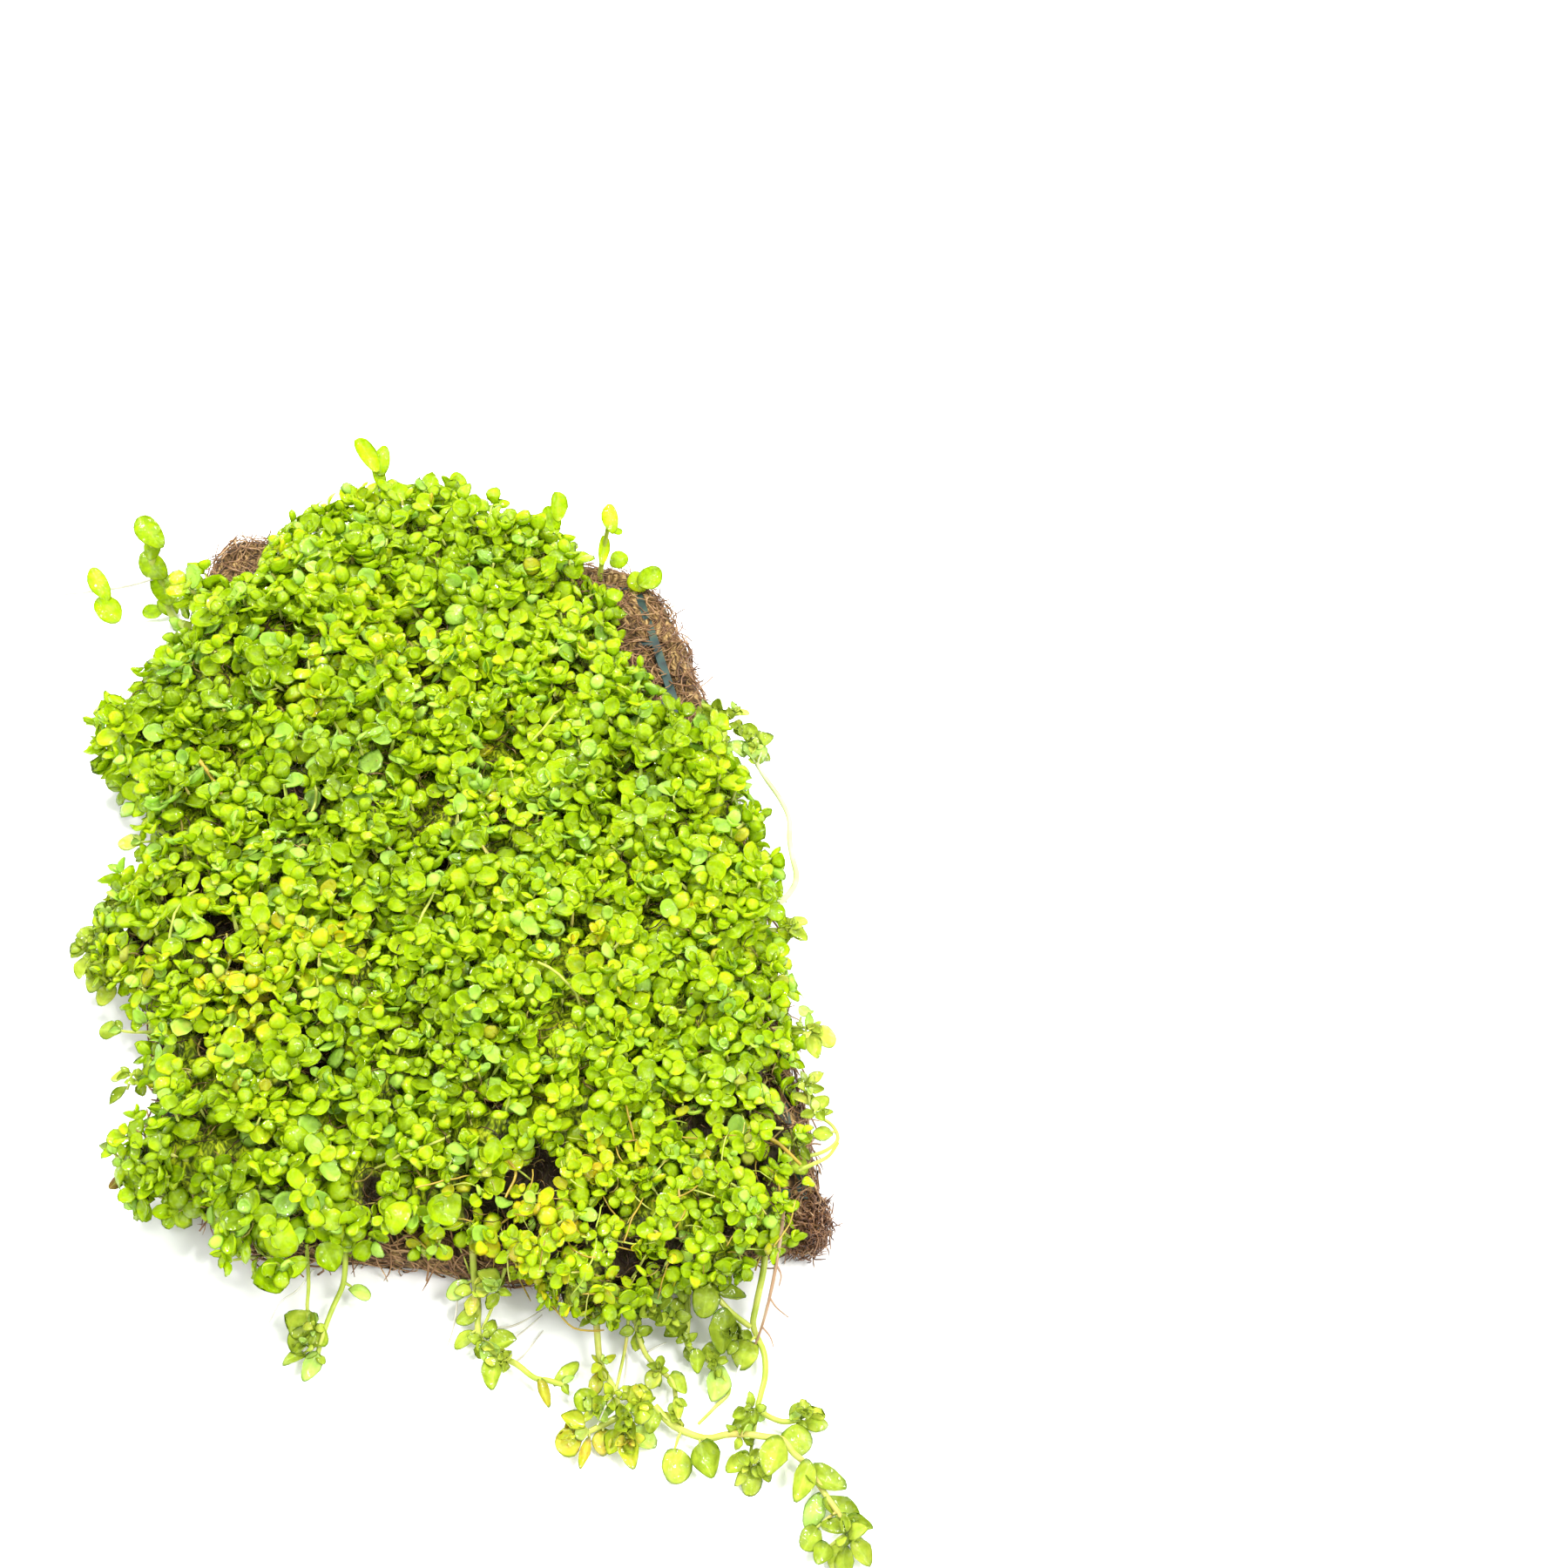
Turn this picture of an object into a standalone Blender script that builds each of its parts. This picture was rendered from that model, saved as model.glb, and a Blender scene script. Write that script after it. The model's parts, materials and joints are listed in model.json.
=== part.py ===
"""Baby tears: a mat of a small round-leaved carpet plant, grown on a slab of coconut fibre.

The slab lies flat. A coarse plastic net lies on it and the foliage grows through the net. Runners trail
from the near edge over the surface that the slab lies on, and single shoots stand out from the rim.

+X is to the right, +Y away from the edge with the runners, +Z up. The origin is on the slab's flat
underside, near its middle. All sizes in the constants are millimetres.
"""
import math
import random

import bpy
import bmesh
from mathutils import Matrix, Vector, noise

MM = 0.001
SEED = 11

# Slab of coconut fibre
PAD_THICKNESS = 5.0
PAD_EDGE_ROUND = 0.9
PAD_RAGGED = 0.45
PAD_OUTLINE = (
    (-42.0, 65.5), (-39.4, 72.2), (-34.7, 73.4), (-28.0, 71.6), (-18.0, 70.5), (-8.0, 69.0), (3.0, 67.5),
    (13.0, 65.0), (21.0, 62.8), (26.5, 60.3), (31.0, 53.2), (32.2, 49.0), (32.4, 44.5), (34.4, 41.5),
    (34.2, 34.0), (35.4, 29.8), (35.8, 24.0), (35.5, 16.0), (35.9, 10.0), (37.6, 4.0), (38.2, -8.0),
    (38.6, -22.0), (38.8, -36.0), (39.2, -48.0), (39.2, -56.0), (37.8, -60.6), (34.4, -62.3),
    (29.2, -63.3), (23.5, -64.2), (14.0, -64.0), (6.0, -62.8), (-1.0, -61.4), (-9.5, -58.8),
    (-18.5, -57.4), (-24.5, -55.6), (-28.2, -52.6), (-31.8, -48.8), (-35.8, -42.0), (-37.4, -34.0),
    (-39.6, -24.0), (-40.6, -12.0), (-41.4, 0.0), (-42.8, 12.0), (-44.0, 24.0), (-43.0, 38.0),
    (-42.5, 52.0), (-42.8, 60.0),
)

# Plastic net on the slab: near-left, near-right, far-right and far-left corners of its border strand
NET_CORNERS = ((-34.0, -45.0), (36.6, -57.5), (26.6, 54.5), (-36.0, 62.5))
NET_BOW = 1.4
NET_COLUMNS = 5
NET_ROWS = 8
NET_STRAND = 1.3
NET_THICKNESS = 1.0

# Foliage carpet
GAP = 0.35
CARPET_LOW = 1.0
CARPET_HIGH = 12.2
CARPET_SWELL = 1.2
CARPET_LUMP = 2.4
CARPET_LUMP_PITCH = 5.2
CARPET_VOXEL = 2.0
CARPET_TRIANGLES = 3400
CARPET_OUTLINE = (
    (28.5, 31.5), (22.8, 31.0), (20.6, 34.5), (21.6, 41.0), (20.2, 48.7), (17.0, 56.0), (12.5, 60.0),
    (8.0, 67.0), (3.0, 74.0), (-3.0, 77.5), (-11.0, 78.0), (-19.0, 75.5), (-26.5, 69.0), (-29.5, 61.0),
    (-31.5, 54.0), (-37.0, 51.0), (-41.8, 48.0), (-44.2, 41.0), (-49.0, 35.0), (-51.6, 29.0),
    (-50.2, 20.5), (-46.0, 15.5), (-43.4, 10.0), (-40.8, 4.0), (-41.2, -1.0), (-38.8, -6.0),
    (-43.2, -9.2), (-45.6, -13.0), (-44.8, -17.6), (-40.6, -22.8), (-38.0, -27.0), (-37.4, -31.0),
    (-36.4, -37.0), (-34.2, -41.0), (-36.6, -44.6), (-34.6, -48.4), (-31.6, -51.2), (-28.8, -52.8),
    (-26.8, -56.8), (-24.6, -60.0), (-21.5, -61.6), (-17.5, -59.6), (-13.0, -58.2), (-8.0, -59.2),
    (-3.0, -60.2), (1.0, -61.8), (5.0, -65.3), (9.5, -69.0), (13.0, -69.0), (16.5, -67.8),
    (21.0, -65.6), (26.0, -64.4), (29.5, -61.6), (32.0, -58.0), (34.6, -54.6), (36.2, -49.6),
    (36.0, -44.0), (36.6, -39.5), (37.6, -35.0), (38.4, -28.0), (38.4, -20.0), (38.4, -10.0),
    (37.4, -2.0), (36.4, 3.0), (34.2, 6.6), (34.0, 11.6), (35.8, 17.0), (34.2, 22.5), (30.5, 27.0),
)

# Shoots and runners
STEM = 0.42
THIN = 0.24
LEAF_HALF_THICKNESS = 0.33
FLOOR_CLEARANCE = 0.25

UP = (0.0, 0.0, 1.0)
VIEWER = (0.1, -0.8, 0.6)

# Each shoot: the way its leaves face, its stems as (radius, points), and its leaves as (centre x, y, z,
# half-width, half-length). A leaf points away from the nearest place on the stems.
SHOOTS = {
    "runner_tail": (
        UP,
        ((STEM, ((17.9, -77.9, 2.0), (19.7, -80.1, 1.8), (22.7, -81.7, 1.7), (24.9, -81.9, 2.4),
                 (26.7, -82.3, 3.0), (29.0, -82.9, 3.1), (30.6, -83.3, 2.9), (31.6, -84.6, 2.4),
                 (32.7, -85.7, 2.0), (34.2, -88.7, 1.8), (35.3, -91.0, 1.9), (36.1, -93.2, 1.9))),),
        ((19.6, -84.0, 1.5, 1.3, 1.8), (22.6, -84.0, 1.6, 1.4, 1.8), (29.5, -85.2, 2.4, 1.5, 1.9),
         (32.5, -83.9, 3.0, 1.5, 1.8), (32.2, -87.6, 1.6, 1.2, 1.8), (34.7, -87.2, 2.2, 1.4, 1.8),
         (33.5, -90.7, 1.6, 1.2, 1.8), (36.0, -90.3, 2.1, 1.3, 1.7), (33.2, -93.8, 1.4, 1.2, 1.9),
         (37.6, -92.4, 2.6, 1.1, 1.8), (37.8, -95.0, 1.8, 1.2, 1.8), (35.4, -95.3, 1.4, 1.3, 1.7))),
    "runner_long": (
        UP,
        ((STEM, ((31.8, -60.5, 6.8), (31.2, -64.6, 5.0), (29.9, -68.4, 3.2), (29.3, -70.6, 2.5),
                 (30.1, -73.4, 2.0), (29.9, -75.9, 1.8), (29.1, -78.0, 1.7), (28.8, -79.4, 1.6),
                 (30.8, -80.8, 1.5), (32.5, -81.0, 1.6))),
         (STEM, ((22.8, -61.0, 8.0), (24.2, -65.4, 5.4), (26.6, -68.6, 3.4), (29.0, -70.7, 2.6))),
         (THIN, ((28.7, -79.2, 1.6), (27.8, -82.0, 1.1), (27.1, -84.4, 1.1)))),
        ((24.3, -68.0, 4.2, 1.8, 2.2), (27.2, -67.2, 4.2, 1.4, 1.6), (26.1, -71.2, 3.0, 1.5, 2.2),
         (28.0, -73.0, 2.2, 1.5, 1.6), (27.4, -80.3, 1.6, 0.9, 1.5), (33.3, -80.0, 1.9, 0.9, 1.3),
         (34.1, -81.6, 1.7, 0.9, 1.5), (25.7, -84.7, 1.2, 0.9, 1.5), (27.2, -86.3, 1.1, 1.1, 1.7))),
    "runner_right": (
        UP,
        ((STEM, ((22.6, -60.5, 8.0), (22.5, -65.2, 4.2), (22.3, -68.6, 2.7), (22.0, -71.6, 2.1),
                 (23.5, -73.1, 2.0), (24.8, -74.2, 1.9))),
         (THIN, ((24.6, -74.1, 1.8), (26.0, -76.6, 1.1), (24.2, -78.3, 0.9), (22.3, -79.8, 0.8)))),
        ((21.1, -67.6, 2.8, 0.8, 1.3), (20.9, -70.0, 2.3, 0.8, 1.3), (24.8, -76.2, 1.7, 1.4, 1.7),
         (24.6, -72.6, 2.4, 0.9, 1.4))),
    "runner_middle": (
        UP,
        ((STEM, ((16.6, -64.0, 8.0), (16.6, -69.0, 3.6), (17.3, -71.9, 2.2), (18.6, -73.8, 2.0),
                 (20.0, -75.4, 1.8), (20.2, -77.4, 1.6))),),
        ((18.0, -75.2, 1.9, 0.8, 1.2), (21.2, -76.4, 1.9, 0.9, 1.3), (20.2, -78.6, 1.6, 0.6, 1.2))),
    "runner_left": (
        UP,
        ((STEM, ((-0.4, -57.5, 8.0), (-0.5, -61.9, 4.4), (-0.2, -64.7, 2.6), (-0.3, -66.9, 2.1),
                 (0.1, -68.8, 2.0), (1.8, -70.4, 2.0), (3.7, -71.6, 2.0), (5.5, -73.2, 1.8),
                 (7.0, -73.7, 1.8), (8.6, -74.4, 1.8))),),
        ((-2.2, -63.2, 3.4, 0.9, 1.5), (1.4, -63.8, 3.2, 1.0, 1.5), (2.1, -69.0, 2.4, 1.2, 1.5),
         (-1.9, -68.4, 2.2, 0.8, 1.3), (1.3, -72.7, 1.5, 1.1, 1.6), (6.4, -75.4, 1.5, 0.6, 1.7),
         (9.0, -73.2, 2.2, 0.7, 1.3))),
    "runner_centre": (
        UP,
        ((STEM, ((12.4, -64.0, 8.0), (12.4, -69.6, 3.6), (12.6, -72.8, 2.2), (13.8, -75.6, 2.0),
                 (14.2, -78.4, 2.0), (14.6, -80.4, 1.7))),
         (THIN, ((15.9, -65.0, 7.0), (15.8, -68.8, 3.6), (15.2, -71.6, 2.3), (13.9, -76.0, 2.1))),
         (STEM, ((14.1, -78.5, 1.9), (12.2, -79.2, 1.9), (10.4, -79.8, 1.8)))),
        ((8.6, -80.6, 1.8, 1.3, 1.5), (9.3, -78.3, 2.3, 0.9, 1.4), (10.4, -81.9, 1.5, 0.6, 1.4),
         (12.2, -81.0, 1.6, 1.1, 1.4), (14.9, -82.2, 1.6, 1.2, 1.8), (16.4, -79.6, 2.3, 1.2, 1.6),
         (15.8, -76.6, 2.6, 1.2, 1.5), (10.9, -76.8, 2.2, 1.3, 1.6), (11.8, -74.6, 2.3, 0.8, 1.3))),
    "shoot_front_left": (
        UP,
        ((STEM, ((-14.0, -55.5, 7.0), (-14.3, -59.8, 4.4), (-14.7, -61.2, 3.1), (-15.6, -63.0, 2.5),
                 (-16.3, -64.8, 2.1), (-16.9, -67.0, 1.8), (-17.1, -67.9, 1.7))),
         (THIN, ((-18.2, -57.5, 6.4), (-18.1, -61.0, 4.2), (-18.3, -63.2, 2.9), (-17.9, -65.4, 2.2),
                 (-17.0, -67.3, 1.8)))),
        ((-12.9, -62.0, 2.7, 0.8, 1.5), (-18.9, -64.5, 2.6, 1.6, 1.5), (-19.0, -66.7, 2.1, 1.3, 1.3),
         (-19.6, -68.3, 1.6, 0.8, 1.3), (-17.7, -69.3, 1.5, 1.0, 1.5))),
    "shoot_far_tip": (
        VIEWER,
        ((STEM, ((-12.5, 74.5, 9.0), (-14.4, 77.8, 12.0), (-14.7, 78.8, 14.6), (-15.2, 79.0, 16.4))),),
        ((-16.0, 79.0, 18.5, 1.1, 2.1), (-13.7, 79.0, 16.2, 0.9, 1.4))),
    "shoot_far_pair": (
        VIEWER,
        ((STEM, ((-4.0, 72.0, 9.0), (-3.8, 77.2, 9.6), (-3.9, 78.4, 10.6))),),
        ((-6.0, 77.8, 12.4, 1.0, 1.5), (-1.6, 77.8, 12.6, 1.0, 1.5))),
    "shoot_far_left": (
        VIEWER,
        ((STEM, ((-42.5, 49.0, 7.0), (-46.2, 55.0, 4.4), (-48.0, 59.6, 4.4), (-47.5, 60.8, 6.4),
                 (-49.1, 61.0, 10.4), (-47.9, 61.0, 13.4), (-47.2, 61.0, 15.0))),
         (THIN, ((-47.7, 60.8, 7.6), (-51.6, 58.0, 7.9), (-55.6, 56.0, 7.4)))),
        ((-47.7, 61.0, 16.0, 1.5, 2.3), (-49.7, 61.0, 11.2, 1.5, 1.9), (-46.6, 60.8, 7.6, 1.5, 2.0),
         (-49.8, 59.0, 3.4, 1.1, 1.3), (-55.4, 56.0, 10.0, 1.4, 2.1), (-55.9, 56.0, 5.0, 1.5, 2.1))),
    "shoot_far_right": (
        VIEWER,
        ((STEM, ((11.0, 59.0, 8.5), (12.7, 64.6, 7.6), (13.4, 66.0, 9.4), (13.9, 66.0, 11.6))),),
        ((12.4, 66.0, 9.6, 1.0, 1.6), (14.6, 66.0, 14.2, 1.2, 2.8))),
    "shoot_far_stalk": (
        VIEWER,
        ((0.34, ((20.3, 57.0, 5.8), (21.6, 57.8, 10.2), (22.1, 58.0, 14.2), (22.4, 58.0, 16.2))),),
        ((22.8, 58.0, 18.0, 1.0, 1.8), (23.5, 57.9, 10.0, 0.9, 1.2))),
    "shoot_far_corner": (
        VIEWER,
        ((STEM, ((25.6, 52.4, 6.9), (27.0, 53.4, 7.4), (28.0, 53.9, 8.0))),),
        ((27.4, 54.0, 9.6, 1.2, 1.3), (29.6, 54.0, 8.8, 1.1, 1.3))),
    "shoot_left_leaf": (
        UP,
        ((THIN, ((-38.0, 3.0, 8.0), (-42.4, 2.9, 8.0), (-43.2, 2.9, 8.0))),),
        ((-44.6, 2.8, 8.2, 1.5, 1.7),)),
    "shoot_left_middle": (
        UP,
        ((STEM, ((-42.0, -12.8, 6.6), (-47.6, -13.0, 6.2), (-48.4, -13.0, 6.2))),),
        ((-48.8, -11.0, 6.4, 1.3, 1.5), (-48.6, -15.4, 6.0, 1.3, 1.5))),
    "shoot_left_stalk": (
        UP,
        ((THIN, ((-36.0, -28.0, 7.2), (-40.2, -27.6, 7.2), (-41.6, -27.2, 7.2))),),
        ((-43.2, -26.9, 7.2, 1.1, 1.5),)),
    "shoot_left_lower": (
        UP,
        ((THIN, ((-34.6, -33.2, 7.2), (-38.8, -33.4, 6.8), (-40.0, -33.3, 6.6))),),
        ((-41.3, -33.0, 6.6, 0.9, 1.3), (-40.7, -36.2, 6.0, 0.6, 1.4))),
    "shoot_left_wilted": (
        UP,
        ((THIN, ((-35.0, -45.8, 6.2), (-38.8, -45.0, 5.6), (-40.9, -42.2, 5.0))),),
        ((-39.3, -46.8, 5.4, 0.7, 1.4),)),
    "shoot_right_arc": (
        UP,
        ((THIN + 0.08, ((36.5, -16.0, 7.0), (40.2, -14.4, 7.0), (42.2, -12.2, 7.0), (43.1, -9.6, 6.6),
                        (43.1, -6.4, 6.4), (43.2, -2.8, 6.3), (43.7, 0.5, 6.3), (43.5, 2.9, 6.4),
                        (42.8, 5.6, 6.5), (41.5, 8.8, 6.8), (40.5, 11.6, 7.2))),),
        ((40.6, 13.8, 8.3, 1.6, 1.8), (42.2, 15.4, 8.4, 1.0, 1.6), (40.2, 17.2, 8.6, 1.2, 1.7))),
    "shoot_right_tip": (
        UP,
        ((STEM, ((34.5, 20.0, 8.5), (38.4, 21.4, 8.4))),),
        ((39.6, 21.8, 8.6, 1.0, 1.7),)),
    "shoot_right_upper": (
        UP,
        ((STEM, ((35.5, -21.0, 8.5), (40.4, -20.0, 8.4))),),
        ((42.2, -18.9, 8.6, 0.9, 1.6), (41.4, -21.6, 8.0, 1.2, 1.4))),
    "shoot_right_pair": (
        UP,
        ((THIN, ((35.5, -35.5, 8.2), (38.6, -35.5, 8.1), (41.0, -35.9, 8.1))),),
        ((42.6, -36.9, 8.5, 1.7, 1.9), (40.4, -38.9, 7.8, 1.2, 1.6), (40.6, -33.0, 8.0, 1.0, 1.5))),
    "shoot_right_lower": (
        UP,
        ((THIN + 0.06, ((30.0, -52.0, 7.4), (34.4, -52.6, 7.0), (38.8, -52.6, 6.6), (41.6, -51.0, 6.4),
                        (41.4, -48.9, 6.5), (39.4, -46.8, 6.8), (39.2, -43.4, 7.0))),),
        ((40.2, -49.8, 7.0, 1.1, 1.3), (40.4, -46.4, 7.2, 1.1, 1.3), (40.6, -42.6, 7.0, 0.9, 1.3),
         (38.2, -44.9, 7.2, 0.8, 1.3), (36.2, -50.8, 7.6, 1.1, 1.4), (36.6, -54.6, 7.0, 1.1, 1.4))),
    "root_thread_right": (
        UP,
        ((THIN + 0.04, ((33.9, -59.5, 5.9), (33.6, -63.0, 5.9), (33.2, -65.6, 4.4), (32.0, -68.6, 2.6),
                        (31.3, -71.2, 1.6), (32.2, -74.0, 0.9))),),
        ()),
}

LEAF_GREEN = (0.292, 0.584, 0.026, 1.0)
STEM_GREEN = (0.462, 0.584, 0.133, 1.0)
ROOT_TAN = (0.462, 0.283, 0.159, 1.0)
WILTED_BROWN = (0.157, 0.089, 0.031, 1.0)
COIR_BROWN = (0.138, 0.068, 0.041, 1.0)
NET_GREEN = (0.021, 0.084, 0.068, 1.0)


def clear_scene():
    for thing in list(bpy.data.objects):
        bpy.data.objects.remove(thing, do_unlink=True)
    for group in list(bpy.data.collections):
        bpy.data.collections.remove(group)


def make_collection(name):
    group = bpy.data.collections.new(name)
    bpy.context.scene.collection.children.link(group)
    return group


def make_material(name, colour, roughness, metallic=0.0):
    material = bpy.data.materials.new(name)
    material.use_nodes = True
    shader = material.node_tree.nodes["Principled BSDF"]
    shader.inputs["Base Color"].default_value = colour
    shader.inputs["Roughness"].default_value = roughness
    shader.inputs["Metallic"].default_value = metallic
    material.diffuse_color = colour
    return material


def spline_points(a, b, c, d, steps):
    """The start and the inner points of one Catmull-Rom stretch from b to c."""
    result = []
    for step in range(steps):
        t = step / steps
        result.append(0.5 * (2 * b + (c - a) * t + (2 * a - 5 * b + 4 * c - d) * t * t
                             + (3 * b - a - 3 * c + d) * t * t * t))
    return result


def smooth_loop(points, steps):
    count = len(points)
    result = []
    for i in range(count):
        result += spline_points(*(Vector(points[(i + k - 1) % count]) for k in range(4)), steps)
    return result


def smooth_path(points, steps):
    ends = [2 * Vector(points[0]) - Vector(points[1])] + [Vector(p) for p in points]
    ends.append(2 * Vector(points[-1]) - Vector(points[-2]))
    result = []
    for i in range(len(points) - 1):
        result += spline_points(*ends[i:i + 4], steps)
    result.append(ends[-2])
    return result


def outward(loop, distance):
    """The closed loop moved out by a distance, or by distance(i) at its point i."""
    count = len(loop)
    area = sum(loop[i].x * loop[(i + 1) % count].y - loop[(i + 1) % count].x * loop[i].y for i in range(count))
    turn = 1.0 if area > 0 else -1.0
    result = []
    for i in range(count):
        along = loop[(i + 1) % count] - loop[i - 1]
        normal = Vector((along.y, -along.x)).normalized() * turn
        result.append(loop[i] + normal * (distance(i) if callable(distance) else distance))
    return result


def rectangle(half_x, half_y):
    return [Vector((-half_x, -half_y)), Vector((half_x, -half_y)), Vector((half_x, half_y)),
            Vector((-half_x, half_y))]


def add_mesh_object(name, mesh, group):
    thing = bpy.data.objects.new(name, mesh)
    group.objects.link(thing)
    return thing


def evaluated_mesh(thing):
    bpy.context.view_layer.update()
    depsgraph = bpy.context.evaluated_depsgraph_get()
    return bpy.data.meshes.new_from_object(thing.evaluated_get(depsgraph))


def settle(thing, weld=0.00001, face_out=True):
    """Replace an object's mesh by its evaluated mesh, welded and, if asked, facing out."""
    mesh = evaluated_mesh(thing)
    work = bmesh.new()
    work.from_mesh(mesh)
    bmesh.ops.remove_doubles(work, verts=work.verts, dist=weld)
    if face_out:
        bmesh.ops.recalc_face_normals(work, faces=work.faces)
    work.to_mesh(mesh)
    work.free()
    thing.modifiers.clear()
    thing.data = mesh
    return thing


def curve_to_mesh_object(thing, name, group):
    mesh = evaluated_mesh(thing)
    solid = add_mesh_object(name, mesh, group)
    solid.matrix_world = thing.matrix_world.copy()
    bpy.data.objects.remove(thing, do_unlink=True)
    return settle(solid)


def flat_solid(name, loops, low, high, group):
    """A solid between two heights with the first loop as its outline and the others as holes."""
    curve = bpy.data.curves.new(name + "_outline", "CURVE")
    curve.dimensions = "2D"
    curve.fill_mode = "BOTH"
    curve.extrude = (high - low) * 0.5 * MM
    for loop in loops:
        spline = curve.splines.new("POLY")
        spline.points.add(len(loop) - 1)
        spline.use_cyclic_u = True
        for point, place in zip(spline.points, loop):
            point.co = (place.x * MM, place.y * MM, 0.0, 1.0)
    thing = bpy.data.objects.new(name + "_outline", curve)
    group.objects.link(thing)
    thing.location.z = (high + low) * 0.5 * MM
    bpy.context.view_layer.update()
    return curve_to_mesh_object(thing, name, group)


def tube(name, points, radius, group):
    curve = bpy.data.curves.new(name + "_route", "CURVE")
    curve.dimensions = "3D"
    curve.bevel_depth = radius * MM
    curve.bevel_resolution = 1
    curve.use_fill_caps = True
    spline = curve.splines.new("POLY")
    spline.points.add(len(points) - 1)
    for point, place in zip(spline.points, points):
        point.co = (place.x * MM, place.y * MM, place.z * MM, 1.0)
    thing = bpy.data.objects.new(name + "_route", curve)
    group.objects.link(thing)
    return curve_to_mesh_object(thing, name, group)


def combine(thing, other, operation, keep_other=False):
    modifier = thing.modifiers.new(operation.lower(), "BOOLEAN")
    modifier.operation = operation
    modifier.solver = "EXACT"
    modifier.object = other
    settle(thing, 0.000002, face_out=False)
    if not keep_other:
        bpy.data.objects.remove(other, do_unlink=True)
    return thing


def keep_largest_body(thing):
    """Drop the crumbs that a cut leaves: only the body with the most faces stays."""
    work = bmesh.new()
    work.from_mesh(thing.data)
    unseen = set(work.faces)
    bodies = []
    while unseen:
        stack = [unseen.pop()]
        body = list(stack)
        while stack:
            for edge in stack.pop().edges:
                for face in edge.link_faces:
                    if face in unseen:
                        unseen.remove(face)
                        stack.append(face)
                        body.append(face)
        bodies.append(body)
    bodies.sort(key=len)
    for body in bodies[:-1]:
        bmesh.ops.delete(work, geom=body, context="FACES")
    loose = [v for v in work.verts if not v.link_faces]
    bmesh.ops.delete(work, geom=loose, context="VERTS")
    work.to_mesh(thing.data)
    work.free()
    return thing


def swollen_copy(thing, name, distance, group):
    mesh = thing.data.copy()
    copy = add_mesh_object(name, mesh, group)
    copy.matrix_world = thing.matrix_world.copy()
    normals = [v.normal.copy() for v in mesh.vertices]
    for vertex, normal in zip(mesh.vertices, normals):
        vertex.co += normal * distance * MM
    return as_cutter(copy)


def as_cutter(thing):
    thing.hide_render = True
    thing.display_type = "WIRE"
    return thing


def finish(thing, material, smooth_angle=40.0):
    thing.data.materials.clear()
    thing.data.materials.append(material)
    thing.data.shade_smooth()
    thing.data.set_sharp_from_angle(angle=math.radians(smooth_angle))
    return thing


def make_pad(group, material):
    rng = random.Random(SEED)
    loop = smooth_loop(PAD_OUTLINE, 2)
    ragged = [rng.uniform(-PAD_RAGGED, PAD_RAGGED) for _ in loop]
    loop = outward(loop, lambda i: ragged[i])
    pad = flat_solid("coir_pad", [loop], 0.0, PAD_THICKNESS, group)
    bevel = pad.modifiers.new("worn_edge", "BEVEL")
    bevel.width = PAD_EDGE_ROUND * MM
    bevel.segments = 1
    bevel.limit_method = "ANGLE"
    bevel.angle_limit = math.radians(60)
    settle(pad)
    return finish(pad, material), loop


def net_point(u, v):
    near_left, near_right, far_right, far_left = (Vector(c) for c in NET_CORNERS)
    place = near_left.lerp(near_right, u).lerp(far_left.lerp(far_right, u), v)
    place.x += NET_BOW * math.sin(math.pi * v) * (2 * u - 1)
    return place


def net_border():
    steps = [(i / NET_COLUMNS, 0.0) for i in range(NET_COLUMNS)]
    steps += [(1.0, j / NET_ROWS) for j in range(NET_ROWS)]
    steps += [(1.0 - i / NET_COLUMNS, 1.0) for i in range(NET_COLUMNS)]
    steps += [(0.0, 1.0 - j / NET_ROWS) for j in range(NET_ROWS)]
    return [net_point(u, v) for u, v in steps]


def make_net(group, material):
    """The net is one flat grid of strands, its holes cut out of the border's outline."""
    low = PAD_THICKNESS + GAP
    half = NET_STRAND / 2
    loops = [outward(net_border(), half)]
    for i in range(NET_COLUMNS):
        for j in range(NET_ROWS):
            corners = [net_point((i + a) / NET_COLUMNS, (j + b) / NET_ROWS)
                       for a, b in ((0, 0), (1, 0), (1, 1), (0, 1))]
            hole = []
            for k in range(4):
                before = (corners[k - 1] - corners[k]).normalized()
                after = (corners[(k + 1) % 4] - corners[k]).normalized()
                hole.append(corners[k] + (before + after) * half)
            loops.append(hole)
    net = flat_solid("plastic_net", loops, low, low + NET_THICKNESS, group)
    return finish(net, material)


def lump_height(place):
    """Rounded leafy lumps: highest at each cell's middle, with furrows between the cells."""
    distances, _ = noise.voronoi(place / (CARPET_LUMP_PITCH * MM))
    lump = max(0.0, 1.0 - (distances[0] / 0.62) ** 2) * min(1.0, (distances[1] - distances[0]) * 3.0)
    swell = noise.noise(place / (17.0 * MM))
    return CARPET_LUMP * lump + CARPET_SWELL * swell


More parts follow.
